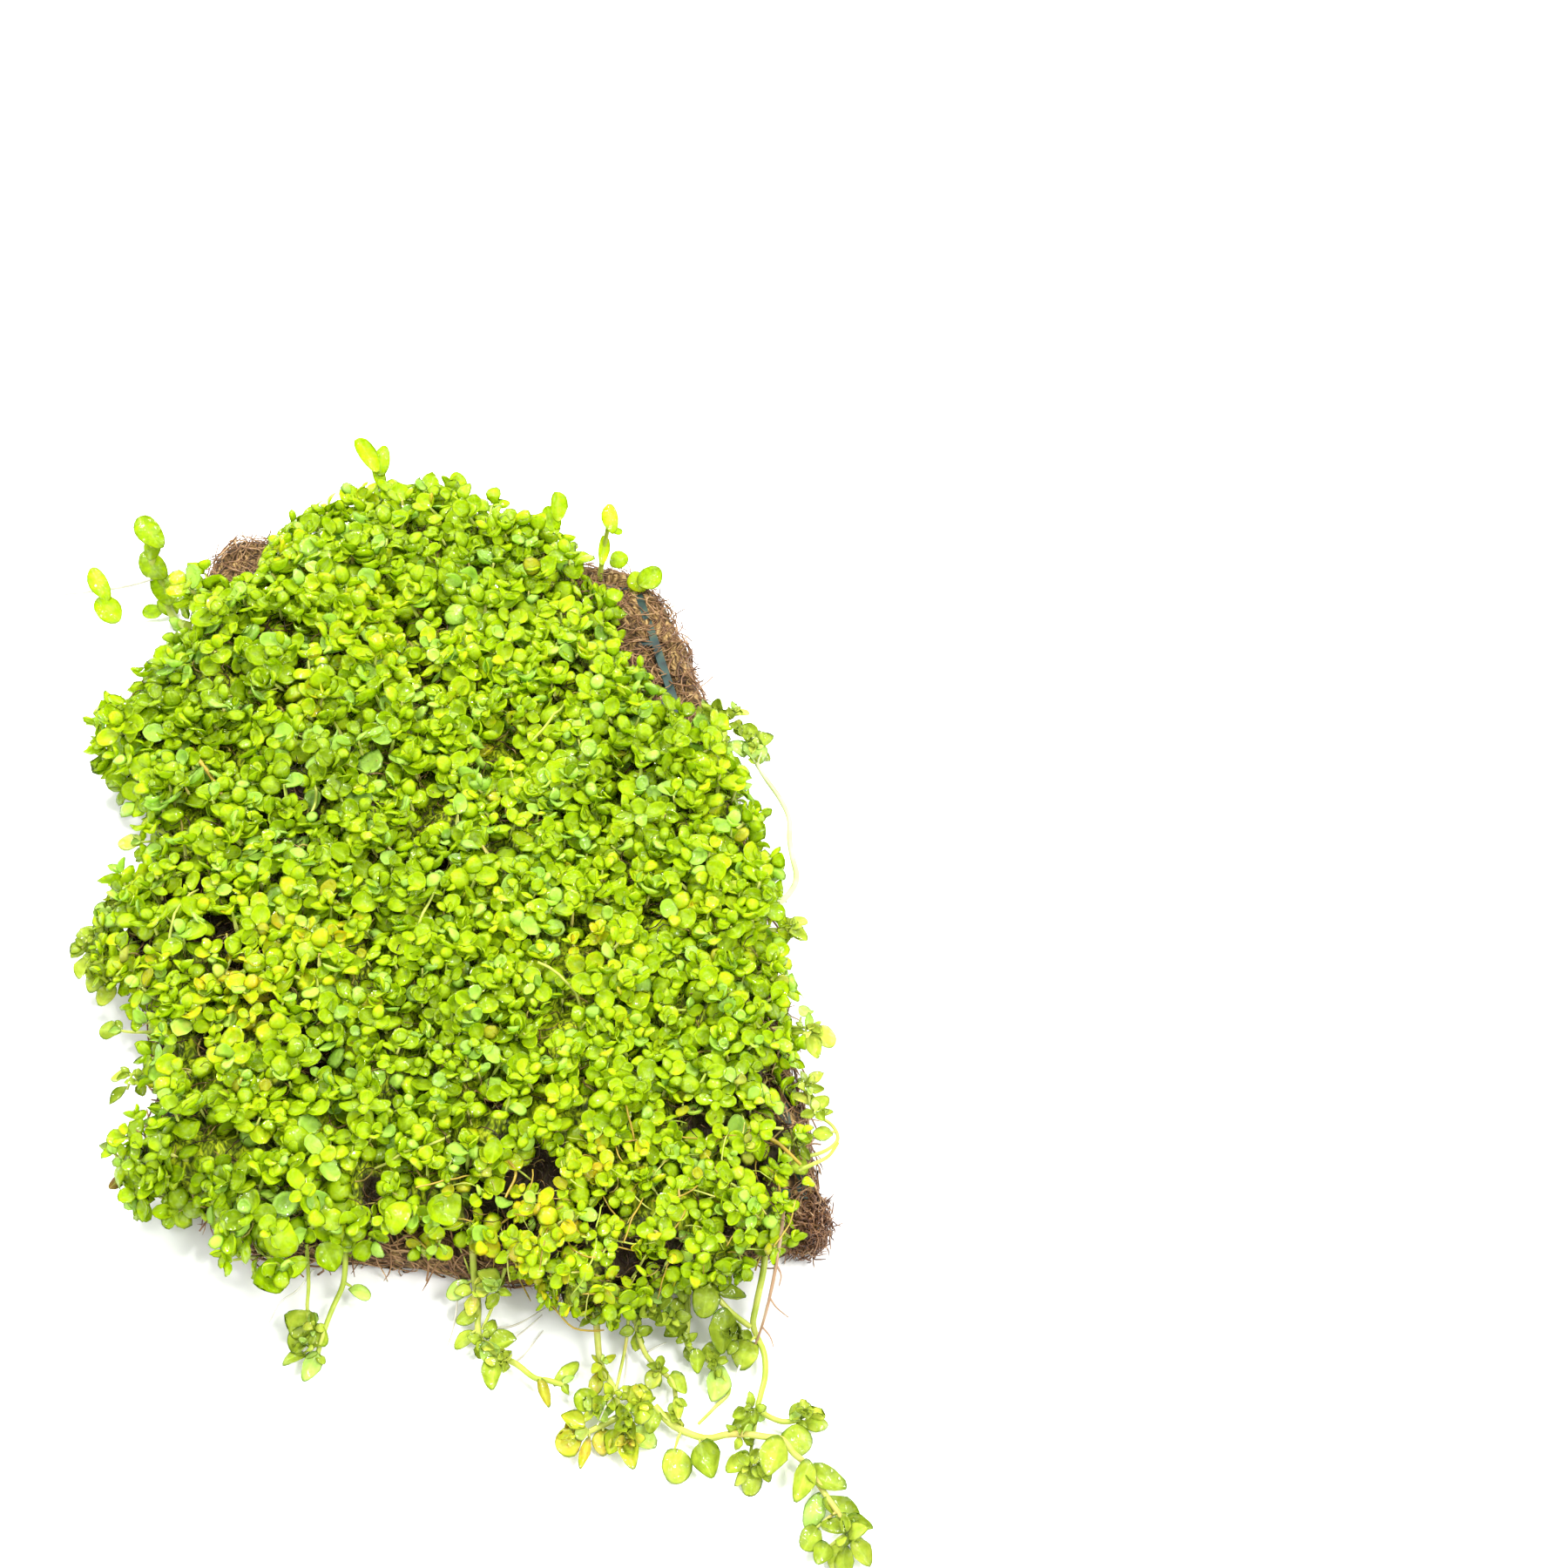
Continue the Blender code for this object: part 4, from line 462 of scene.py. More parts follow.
def leaf_finish(name, stops, shine, see_through, rim=0.35):
    """Fresh leaf blade, thin, domed and wet. The eye sees a lime green that goes from deep to yellow
    with age, a rim darkened by painted shade, a crown lightened by a painted highlight, a film of
    water with small glints and light from behind. One leaf in eight is paler with a painted sheen,
    and a few are dying."""
    material, tree, place = new_finish(name)
    tint, tone, yellowing = (add(tree, "ShaderNodeAttribute", out="Fac", attribute_name=label)
                             for label in ("tint", "tone", "yellowing"))

    # Age, from the leaf's own draw, drifts 19 mm wide and mottling under 1 mm across
    drawn = add(tree, MATH, (drawn_lot(tree, tint, tone, 5.3, 0.55), 0.6), operation="MULTIPLY")
    drawn = add(tree, MATH, (yellowing, 0.22, drawn), operation="MULTIPLY_ADD")
    wide = add(tree, NOISE, {"Vector": place, "Scale": features(19.0), "Detail": 1.0})
    wide = add(tree, RANGE, (wide, 0.35, 0.65, -0.06, 0.24))
    fine = add(tree, NOISE, {"Vector": place, "Scale": features(0.9), "Detail": 2.0})
    fine = add(tree, RANGE, (fine, 0.3, 0.7, -0.2, 0.2))
    age = add(tree, MATH, (drawn, wide), operation="ADD")
    age = add(tree, MATH, (age, fine), operation="ADD", use_clamp=True)

    # The leaves that get a pale painted sheen, as of their film of water, and those that are spent
    painted_sheen_lot = add(tree, MATH, (drawn_lot(tree, tint, tone, 11.7, 0.83), 0.87), operation="GREATER_THAN")
    painted_sheen_share = add(tree, MATH, (painted_sheen_lot, 0.45), operation="MULTIPLY")
    least = add(tree, MATH, (yellowing, -0.07, 0.994), operation="MULTIPLY_ADD")
    spent = add(tree, MATH, (drawn_lot(tree, tint, tone, 17.3, 0.61), least), operation="GREATER_THAN")
    dying = add(tree, MATH, (spent, 0.5), operation="MULTIPLY")

    # Midrib, the crown's painted highlight and the rim's painted shade, placed by the blade's own map
    blade = add(tree, "ShaderNodeUVMap", uv_map="blade")
    across = add(tree, "ShaderNodeSeparateXYZ", (blade,))
    aside = add(tree, MATH, (across, 0.5), operation="SUBTRACT")
    aside = add(tree, MATH, (aside,), operation="ABSOLUTE")
    centred = add(tree, "ShaderNodeVectorMath", (blade, (0.5, 0.5, 0.0)), operation="SUBTRACT")
    radius = add(tree, "ShaderNodeVectorMath", (centred,), out="Value", operation="LENGTH")
    rib = add(tree, RANGE, (aside, 0.0, 0.06, 0.2, 0.0))
    # Painted highlight: the crown of the blade is mixed paler towards its middle
    crown = add(tree, RANGE, (radius, 0.0, 0.34, 0.25, 0.0))
    # Painted shade: the rim of the blade is mixed darker, as far as the rim share
    painted_rim_shade = add(tree, RANGE, (radius, 0.42, 0.5, 0.0, rim))
    colour = add(tree, RAMP, (age,), stops=stops)
    # Mixed in turn: the painted sheen, the dying tan, the midrib, the crown's painted highlight and the rim's
    # painted shade
    for share, other in ((painted_sheen_share, "#C4EC84"), (dying, "#BC9C2C"), (rib, "#D2EC68"), (crown, "#D0EC54"),
                         (painted_rim_shade, "#4A7004")):
        colour = add(tree, MIX, {0: share, 6: colour, 7: other}, out=2, data_type="RGBA")

    # Film and beads of water over the puckered blade
    film = add(tree, NOISE, {"Vector": place, "Scale": features(2.0), "Detail": 1.0})
    film = add(tree, RANGE, (film, 0.35, 0.65, shine, shine + 0.25))
    beads = add(tree, NOISE, {"Vector": place, "Scale": features(1.3), "Detail": 2.0})
    beads = add(tree, RANGE, (beads, 0.44, 0.6, 0.06, 1.0))
    pucker = add(tree, NOISE, {"Vector": place, "Scale": features(0.8), "Detail": 1.5})
    pucker = add(tree, BUMP, {"Strength": 0.8, "Distance": 0.24 * MM, "Height": pucker})
    ripples = add(tree, NOISE, {"Vector": place, "Scale": features(0.7), "Detail": 0.0})
    ripples = add(tree, BUMP, {"Strength": 1.0, "Distance": 0.45 * MM, "Height": ripples, "Normal": pucker})
    surface = add(tree, "ShaderNodeBsdfPrincipled", {
        "Base Color": colour, "Roughness": film, "Normal": pucker, "IOR": 1.4, "Specular IOR Level": 0.1,
        "Coat Weight": beads, "Coat Roughness": 0.07, "Coat IOR": 1.7, "Coat Normal": ripples})
    behind = add(tree, "ShaderNodeHueSaturation", {"Hue": 0.5, "Saturation": 0.98, "Value": 1.15,
                                                   "Color": colour})
    through = add(tree, "ShaderNodeBsdfTranslucent", {"Color": behind, "Normal": pucker})
    mixed = add(tree, "ShaderNodeMixShader", (see_through, surface, through))
    add(tree, "ShaderNodeOutputMaterial", {"Surface": mixed})
    return material


def strand_finish(name, stops, pitch_mm, roughness, coat, see_through=0.0):
    """Plant strand, such as a stem, a root or a husk fibre: its colour changes from strand to strand
    and in short patches along it, and it is damp."""
    material, tree, place = new_finish(name)
    tint = add(tree, "ShaderNodeAttribute", out="Fac", attribute_name="tint")
    patch = add(tree, NOISE, {"Vector": place, "Scale": features(pitch_mm), "Detail": 3.0})
    patch = add(tree, RANGE, (patch, 0.3, 0.7, 0.0, 0.55))
    level = add(tree, MATH, (tint, 0.5, patch), operation="MULTIPLY_ADD", use_clamp=True)
    colour = add(tree, RAMP, (level,), stops=stops)
    damp = add(tree, NOISE, {"Vector": place, "Scale": features(pitch_mm * 0.6), "Detail": 2.0})
    damp = add(tree, RANGE, (damp, 0.35, 0.65, roughness, roughness + 0.3))
    grain = add(tree, NOISE, {"Vector": place, "Scale": features(0.35), "Detail": 2.0})
    grain = add(tree, BUMP, {"Strength": 0.4, "Distance": 0.08 * MM, "Height": grain})
    surface = add(tree, "ShaderNodeBsdfPrincipled", {
        "Base Color": colour, "Roughness": damp, "Normal": grain, "IOR": 1.45, "Specular IOR Level": 0.25,
        "Coat Weight": coat, "Coat Roughness": 0.12})
    if see_through:
        through = add(tree, "ShaderNodeBsdfTranslucent", {"Color": colour})
        surface = add(tree, "ShaderNodeMixShader", (see_through, surface, through))
    add(tree, "ShaderNodeOutputMaterial", {"Surface": surface})
    return material


def felt_finish(name, stops, roughness, stretch=0.12, painted_shade_colour=None):
    """Coconut husk felt, or the shaded tangle under the leaves: matted fibres 0.3 mm thick, drawn
    0.6 mm apart so that they show, with wet glints where the felt holds water. A tangle given a
    painted shade colour goes dark with painted shade where the leaves part."""
    material, tree, place = new_finish(name)
    bend = add(tree, NOISE, {"Vector": place, "Scale": features(3.0), "Detail": 2.0}, out="Color")
    pushed = add(tree, "ShaderNodeVectorMath", (bend, (2.4 * MM,) * 3, place), operation="MULTIPLY_ADD")
    layers = []
    for turn in (0.4, 1.9, 3.0):
        turned = add(tree, "ShaderNodeMapping", {"Vector": pushed, "Rotation": (0.5, 0.3 * turn, turn),
                                                 "Scale": (1.0, stretch, 1.0)})
        layers.append(add(tree, NOISE, {"Vector": turned, "Scale": features(0.6), "Detail": 1.0}))
    woven = add(tree, MATH, layers[:2], operation="MAXIMUM")
    woven = add(tree, MATH, (woven, layers[2]), operation="MAXIMUM")
    patch = add(tree, NOISE, {"Vector": place, "Scale": features(6.0), "Detail": 3.0})
    patch = add(tree, RANGE, (patch, 0.3, 0.7, -0.3, 0.3))
    shown = add(tree, RANGE, (woven, 0.45, 0.72, 0.0, 1.0))
    level = add(tree, MATH, (shown, patch), operation="ADD", use_clamp=True)
    wet = add(tree, NOISE, {"Vector": place, "Scale": features(2.4), "Detail": 2.0})
    wet = add(tree, RANGE, (wet, 0.42, 0.62, roughness - 0.3, roughness))
    matted = add(tree, BUMP, {"Strength": 1.0, "Distance": 0.5 * MM, "Height": woven})
    colour = add(tree, RAMP, (level,), stops=stops)
    # Painted shade: where the bare attribute is high, the tangle is mixed towards the near-black painted
    # shade colour
    if painted_shade_colour:
        bare = add(tree, "ShaderNodeAttribute", out="Fac", attribute_name="bare")
        bare = add(tree, RANGE, (bare, 0.3, 0.9, 0.0, 0.97))
        colour = add(tree, MIX, {0: bare, 6: colour, 7: painted_shade_colour}, out=2, data_type="RGBA")
    surface = add(tree, "ShaderNodeBsdfPrincipled", {
        "Base Color": colour, "Roughness": wet, "Normal": matted, "IOR": 1.5, "Specular IOR Level": 0.15})
    add(tree, "ShaderNodeOutputMaterial", {"Surface": surface})
    return material


def net_finish():
    """Extruded polyethylene netting, dark green: satin, faintly drawn along the strand, with dust and
    algae in its hollows."""
    material, tree, place = new_finish("polyethylene_net")
    drawn = add(tree, "ShaderNodeMapping", {"Vector": place, "Scale": (1.0, 0.15, 1.0)})
    lines = add(tree, NOISE, {"Vector": drawn, "Scale": features(0.5), "Detail": 2.0})
    stain = add(tree, NOISE, {"Vector": place, "Scale": features(3.0), "Detail": 3.0})
    colour = add(tree, RAMP, (stain,), stops=((0.35, "#08201C"), (0.5, "#12342C"), (0.68, "#3A4630")))
    worn = add(tree, RANGE, (stain, 0.0, 1.0, 0.35, 0.6))
    ridges = add(tree, BUMP, {"Strength": 0.3, "Distance": 0.06 * MM, "Height": lines})
    surface = add(tree, "ShaderNodeBsdfPrincipled", {"Base Color": colour, "Roughness": worn,
                                                     "Normal": ridges, "IOR": 1.51})
    add(tree, "ShaderNodeOutputMaterial", {"Surface": surface})
    return material


def make_finishes():
    """All the finishes of the plant and its pad, named for what each of them is."""
    return {
        # Healthy wet blade: bright lime, turning to yellow where it is older
        "leaf": leaf_finish("wet_leaf_blade", (
            (0.0, "#92AE06"), (0.2, "#A6C208"), (0.45, "#B8D20C"), (0.68, "#C2D812"), (0.88, "#CED81A"),
            (1.0, "#DACA20")), 0.3, 0.5),
        # Blade of a runner or shoot: duller, thicker and less wet, so less light comes through it
        "shoot_leaf": leaf_finish("runner_leaf_blade", (
            (0.0, "#869A24"), (0.3, "#9EB22E"), (0.6, "#B4C240"), (0.85, "#C8CC52"), (1.0, "#D4BE50")),
            0.34, 0.33, 0.7),
        # Blade that begins to yellow, with tan at its oldest
        "turning_leaf": leaf_finish("turning_leaf_blade", (
            (0.0, "#8CA61E"), (0.35, "#A8BA28"), (0.65, "#BEC432"), (0.85, "#C8B63A"), (1.0, "#AC8A34")),
            0.34, 0.3, 0.7),
        # Wilted blade: brown and olive, drier, and little light comes through it
        "wilted_leaf": leaf_finish("wilted_leaf_blade", (
            (0.0, "#6A4E1E"), (0.5, "#8A7630"), (1.0, "#A6983E")), 0.45, 0.2),
        # Fresh stem: yellow green with tan patches, damp, and it lets some light through
        "stem": strand_finish("green_stem", (
            (0.0, "#8AA030"), (0.4, "#A8B840"), (0.75, "#C0C45E"), (1.0, "#B89C50")), 2.5, 0.35, 0.2, 0.2),
        # Stem that grew in the shade: bleached to a milky green
        "pale_stem": strand_finish("pale_stem", (
            (0.0, "#A4B468"), (0.5, "#C2CC8C"), (1.0, "#D8DCB4")), 4.0, 0.35, 0.2, 0.2),
        # Old bare stem: ochre, and opaque
        "tan_stem": strand_finish("tan_stem", (
            (0.0, "#7E6A1E"), (0.5, "#A48A2E"), (1.0, "#BEA648")), 2.5, 0.35, 0.2),
        # Stem down in a gap between the leaves: from dark brown to straw, its dark end partly painted shade
        "gap_stem": strand_finish("shaded_stem", (
            (0.0, "#3A2E10"), (0.5, "#7A6C2C"), (1.0, "#B0A24C")), 1.5, 0.4, 0.2),
        # Stem of the wilted shoot: dull brown, nearly dry
        "wilted": strand_finish("dried_stem", (
            (0.0, "#4A3018"), (0.6, "#7A5A32"), (1.0, "#A08852")), 2.0, 0.5, 0.1),
        # Older root: tan to cream, damp
        "root": strand_finish("fine_root", (
            (0.0, "#7A5A40"), (0.5, "#A88868"), (1.0, "#D0BCA0")), 3.0, 0.4, 0.2, 0.2),
        # Young root: nearly white
        "pale_root": strand_finish("young_root", (
            (0.0, "#B0AA94"), (0.5, "#CECABA"), (1.0, "#E6E6DE")), 3.0, 0.4, 0.2, 0.2),
        # Coconut husk fibre, retted and combed: mid brown, with fair ones among them
        "fibre": strand_finish("husk_fibre", (
            (0.0, "#38241A"), (0.35, "#6A4A30"), (0.7, "#8E6C48"), (1.0, "#BC9C70")), 1.6, 0.4, 0.15),
        # Springy fibre of the torn corner: deeper brown, with wet glints
        "tuft": strand_finish("tuft_fibre", (
            (0.0, "#241208"), (0.35, "#4E301C"), (0.7, "#7C5838"), (1.0, "#C0A07C")), 1.2, 0.3, 0.3),
        # Husk fibre at the bottom of a gap, darkened to almost black with painted shade, with a few fair ones
        "gap_fibre": strand_finish("shaded_fibre", (
            (0.0, "#0E0703"), (0.4, "#2C1B0C"), (0.75, "#5C4020"), (1.0, "#B08E5A")), 1.4, 0.3, 0.3),
        # Needled husk felt of the pad: matt brown with fair fibres on top
        "felt": felt_finish("husk_felt", (
            (0.0, "#24180A"), (0.4, "#4C381C"), (0.75, "#7A6036"), (1.0, "#A08454")), 0.8),
        # Shaded stems and old leaves under the foliage: deep olive, darkened in part as painted shade, and
        # near black with painted shade where leaves part
        "tangle": felt_finish("shaded_tangle", (
            (0.0, "#262E04"), (0.4, "#566408"), (0.75, "#86960E"), (1.0, "#AEB81A")), 0.8, 0.5, "#20120A"),
        "net": net_finish(),
    }


# Node trees that make what repeats

def new_tree(name, sockets):
    """A modifier tree with a geometry input and output, and a named input for each of its sizes."""
    tree = bpy.data.node_groups.new(name, "GeometryNodeTree")
    tree.interface.new_socket("Geometry", in_out="INPUT", socket_type="NodeSocketGeometry")
    for label, kind in sockets:
        tree.interface.new_socket(label, in_out="INPUT", socket_type="NodeSocket" + kind)
    tree.interface.new_socket("Geometry", in_out="OUTPUT", socket_type="NodeSocketGeometry")
    return tree, add(tree, "NodeGroupInput", out=None)


def close_tree(tree, placed, tint, finish, domain="INSTANCE"):
    """Give each instance or point its tint, make the instances real mesh and set the finish."""
    named = add(tree, "GeometryNodeStoreNamedAttribute", {"Geometry": placed, "Name": "tint", "Value": tint},
                domain=domain, data_type="FLOAT")
    real = add(tree, "GeometryNodeRealizeInstances", {"Geometry": named})
    finished = add(tree, "GeometryNodeSetMaterial", {"Geometry": real, "Material": finish})
    add(tree, "NodeGroupOutput", (finished,))
    return tree


def scatter_tree():
    """Shapes stood on a surface, at least Spacing apart, fewer where the Cover attribute is low, each
    leaning between the surface's own slope and straight up. Side keeps the far half at 1, the near
    half at -1 and both at 0."""
    tree, given = new_tree("stand_on_surface", (
        ("Shapes", "Collection"), ("Cover", "String"), ("Side", "Float"), ("Spacing", "Float"),
        ("Crowding", "Float"), ("Least size", "Float"), ("Greatest size", "Float"), ("Upright", "Float"),
        ("Wander", "Float"), ("Seed", "Int"), ("Finish", "Material")))

    # Numbers drawn for each point, from low to high, each with the seed moved on
    drawn = []
    for low, high, move in ((-1.0, 1.0, 11), (-1.0, 1.0, 12), (-1.0, 1.0, 13), (0.0, math.tau, 21),
                            (given["Least size"], given["Greatest size"], 31), (0.0, 1.0, 41)):
        moved = add(tree, "FunctionNodeIntegerMath", (given["Seed"], move), operation="ADD")
        drawn.append(add(tree, "FunctionNodeRandomValue", {2: low, 3: high, 8: moved}, out=1,
                         data_type="FLOAT"))
    *sway, spin, size, tint = drawn

    # The points, and how each shape leans, turns and is sized there
    cover = add(tree, "GeometryNodeInputNamedAttribute", (given["Cover"],), data_type="FLOAT")
    vigour = add(tree, "GeometryNodeInputNamedAttribute", ("vigour",), data_type="FLOAT")
    spread = add(tree, "GeometryNodeDistributePointsOnFaces", {
        "Mesh": given["Geometry"], "Distance Min": given["Spacing"], "Density Max": given["Crowding"],
        "Density Factor": cover, "Seed": given["Seed"]}, out=None, distribute_method="POISSON")
    lean = add(tree, MIX, {0: given["Upright"], 4: spread["Normal"], 5: (0.0, 0.0, 1.0)}, out=1,
               data_type="VECTOR")
    sway = add(tree, "ShaderNodeCombineXYZ", sway)
    sway = add(tree, "ShaderNodeVectorMath", {0: sway, "Scale": given["Wander"]}, operation="SCALE")
    lean = add(tree, "ShaderNodeVectorMath", (lean, sway), operation="ADD")
    stood = add(tree, "FunctionNodeAlignRotationToVector", {"Vector": lean}, axis="Z")
    spin = add(tree, "FunctionNodeAxisAngleToRotation", {"Axis": (0.0, 0.0, 1.0), "Angle": spin})
    turned = add(tree, "FunctionNodeRotateRotation", {"Rotation": stood, "Rotate By": spin},
                 rotation_space="LOCAL")
    size = add(tree, MATH, (size, vigour), operation="MULTIPLY")
    along = add(tree, "ShaderNodeSeparateXYZ", (add(tree, "GeometryNodeInputPosition"),), out="Y")
    along = add(tree, MATH, (along, given["Side"]), operation="MULTIPLY")
    kept = add(tree, "FunctionNodeCompare", (along, 0.0), data_type="FLOAT", operation="GREATER_EQUAL")
    shapes = add(tree, "GeometryNodeCollectionInfo", (given["Shapes"], True, True))
    placed = add(tree, "GeometryNodeInstanceOnPoints", {
        "Points": spread["Points"], "Selection": kept, "Instance": shapes, "Pick Instance": True,
        "Rotation": turned, "Scale": size})
    return close_tree(tree, placed, tint, given["Finish"])


def pinned_tree():
    """Shapes set at given points, each turned by the point's facing and aim, and sized by its size."""
    tree, given = new_tree("set_at_points", (("Shapes", "Collection"), ("Finish", "Material")))
    facing, aim, size = (add(tree, "GeometryNodeInputNamedAttribute", (label,), data_type="FLOAT_VECTOR")
                         for label in ("facing", "aim", "size"))
    age = add(tree, "GeometryNodeInputNamedAttribute", ("age",), data_type="FLOAT")
    faced = add(tree, "FunctionNodeAlignRotationToVector", {"Vector": facing}, axis="Z")
    aimed = add(tree, "FunctionNodeAlignRotationToVector", {"Rotation": faced, "Vector": aim},
                axis="Y", pivot_axis="Z")
    points = add(tree, "GeometryNodeMeshToPoints", {"Mesh": given["Geometry"]})
    shapes = add(tree, "GeometryNodeCollectionInfo", (given["Shapes"], True, True))
    placed = add(tree, "GeometryNodeInstanceOnPoints", {
        "Points": points, "Instance": shapes, "Pick Instance": True, "Rotation": aimed, "Scale": size})
    return close_tree(tree, placed, age, given["Finish"])


def strand_tree():
    """A round strand along each route, thinning from its root to its tip."""
    tree, given = new_tree("strand_along_route", (
        ("Tip", "Float"), ("Sides", "Int"), ("Age", "Float"), ("Finish", "Material")))
    along = add(tree, "GeometryNodeSplineParameter", out="Factor")
    thinning = add(tree, RANGE, (along, 0.0, 1.0, 1.0, given["Tip"]))
    radius = add(tree, MATH, (add(tree, "GeometryNodeInputRadius"), thinning), operation="MULTIPLY")
    ring = add(tree, "GeometryNodeCurvePrimitiveCircle", {"Resolution": given["Sides"], "Radius": 1.0})
    strand = add(tree, "GeometryNodeCurveToMesh", {"Curve": given["Geometry"], "Profile Curve": ring,
                                                   "Scale": radius, "Fill Caps": True})
    return close_tree(tree, strand, given["Age"], given["Finish"], domain="POINT")


# Objects and meshes

def add_object(name, data):
    thing = bpy.data.objects.new(name, data)
    bpy.context.scene.collection.objects.link(thing)
    return thing


def plain_mesh(thing):
    """The evaluated object as a plain mesh."""
    bpy.context.view_layer.update()
    depsgraph = bpy.context.evaluated_depsgraph_get()
    return bpy.data.meshes.new_from_object(thing.evaluated_get(depsgraph), preserve_all_data_layers=True,
                                           depsgraph=depsgraph)


def remove(*things):
    for thing in things:
        bpy.data.objects.remove(thing, do_unlink=True)


def grow(name, source, tree, **inputs):
    """Run a tree on a source object and return its result as a new plain mesh object."""
    modifier = source.modifiers.new(tree.name, "NODES")
    modifier.node_group = tree
    identifiers = {item.name.replace(" ", "_").lower(): item.identifier
                   for item in tree.interface.items_tree if item.in_out == "INPUT"}
    for key, value in inputs.items():
        modifier[identifiers[key]] = value
    result = add_object(name, plain_mesh(source))
    source.modifiers.remove(modifier)
    result.data.shade_smooth()
    return result


def join(name, things):
    """Join mesh objects into the first, which takes the name."""
    with bpy.context.temp_override(active_object=things[0], selected_editable_objects=things):
        bpy.ops.object.join()
    things[0].name = name
    things[0].data.name = name
    return things[0]


def smooth_path(points, steps, closed=False):
    """Catmull-Rom points through the given ones."""
    points = [Vector(p) for p in points]
    count = len(points)
    if closed:
        ring = [points[(i - 1) % count] for i in range(count + 3)]
        stretches = count
    else:
        ring = [2 * points[0] - points[1]] + points + [2 * points[-1] - points[-2]]
        stretches = count - 1
    result = []
    for i in range(stretches):
        a, b, c, d = ring[i:i + 4]
        for step in range(steps):
            t = step / steps
            result.append(0.5 * (2 * b + (c - a) * t + (2 * a - 5 * b + 4 * c - d) * t * t
                                 + (3 * b - a - 3 * c + d) * t * t * t))
    return result if closed else result + [points[-1]]


def smooth_loop(outline, steps):
    return [p.to_2d() for p in smooth_path([(x, y, 0.0) for x, y in outline], steps, closed=True)]


def inset(loop, distance):
    """The closed loop moved in by a distance."""
    count = len(loop)
    pairs = zip(loop, loop[1:] + loop[:1])
    area = sum(here.x * after.y - after.x * here.y for here, after in pairs)
    turn = -1.0 if area > 0 else 1.0
    result = []
    for i in range(count):
        along = loop[(i + 1) % count] - loop[i - 1]
        result.append(loop[i] + Vector((along.y, -along.x)).normalized() * turn * distance)
    return result


def held(value):
    """The value held between 0 and 1."""
    return max(0.0, min(1.0, value))


def distance_to(x, y, a, b):
    """How far the point is from the line from a to b."""
    ex, ey = b[0] - a[0], b[1] - a[1]
    t = held(((x - a[0]) * ex + (y - a[1]) * ey) / (ex * ex + ey * ey))
    return math.hypot(a[0] + ex * t - x, a[1] + ey * t - y)


def depth_inside(x, y, loop):
    """How far the point lies inside the closed loop, or, below zero, outside it."""
    edges = list(zip(loop, loop[1:] + loop[:1]))
    nearest = min(distance_to(x, y, a, b) for a, b in edges)
    inside = False
    for a, b in edges:
        if (a[1] > y) != (b[1] > y) and x < (b[0] - a[0]) * (y - a[1]) / (b[1] - a[1]) + a[0]:
            inside = not inside
    return nearest if inside else -nearest


def slab_mesh(name, loop, low, high, voxel, rounding):
    """A closed rounded slab with an even mesh, from an outline."""
    curve = bpy.data.curves.new(name, "CURVE")
    curve.dimensions = "2D"
    curve.fill_mode = "BOTH"
    curve.extrude = (high - low) * 0.5 * MM
    spline = curve.splines.new("POLY")
    spline.points.add(len(loop) - 1)
    spline.use_cyclic_u = True
    for point, place in zip(spline.points, loop):
        point.co = (place.x * MM, place.y * MM, 0.0, 1.0)
    outline = add_object(name + "_outline", curve)
    solid = add_object(name, plain_mesh(outline))
    solid.data.transform(Matrix.Translation((0.0, 0.0, (high + low) * 0.5 * MM)))
    even = solid.modifiers.new("even_mesh", "REMESH")
    even.mode = "VOXEL"
    even.voxel_size = voxel * MM
    soften = solid.modifiers.new("rounded", "SMOOTH")
    soften.factor = 0.5
    soften.iterations = rounding
    mesh = plain_mesh(solid)
    solid.modifiers.clear()
    solid.data = mesh
    remove(outline)
    return solid


def give_values(mesh, name, values):
    mesh.attributes.new(name, "FLOAT", "POINT").data.foreach_set("value", values)


def dress(mesh, finish):
    mesh.materials.clear()
    mesh.materials.append(finish)
    mesh.shade_smooth()


def keep_above_floor(thing):
    """Lift what dips below the floor to just above it."""
    for vertex in thing.data.vertices:
        vertex.co.z = max(vertex.co.z, FLOOR_CLEARANCE * MM)


# Shapes that the trees repeat

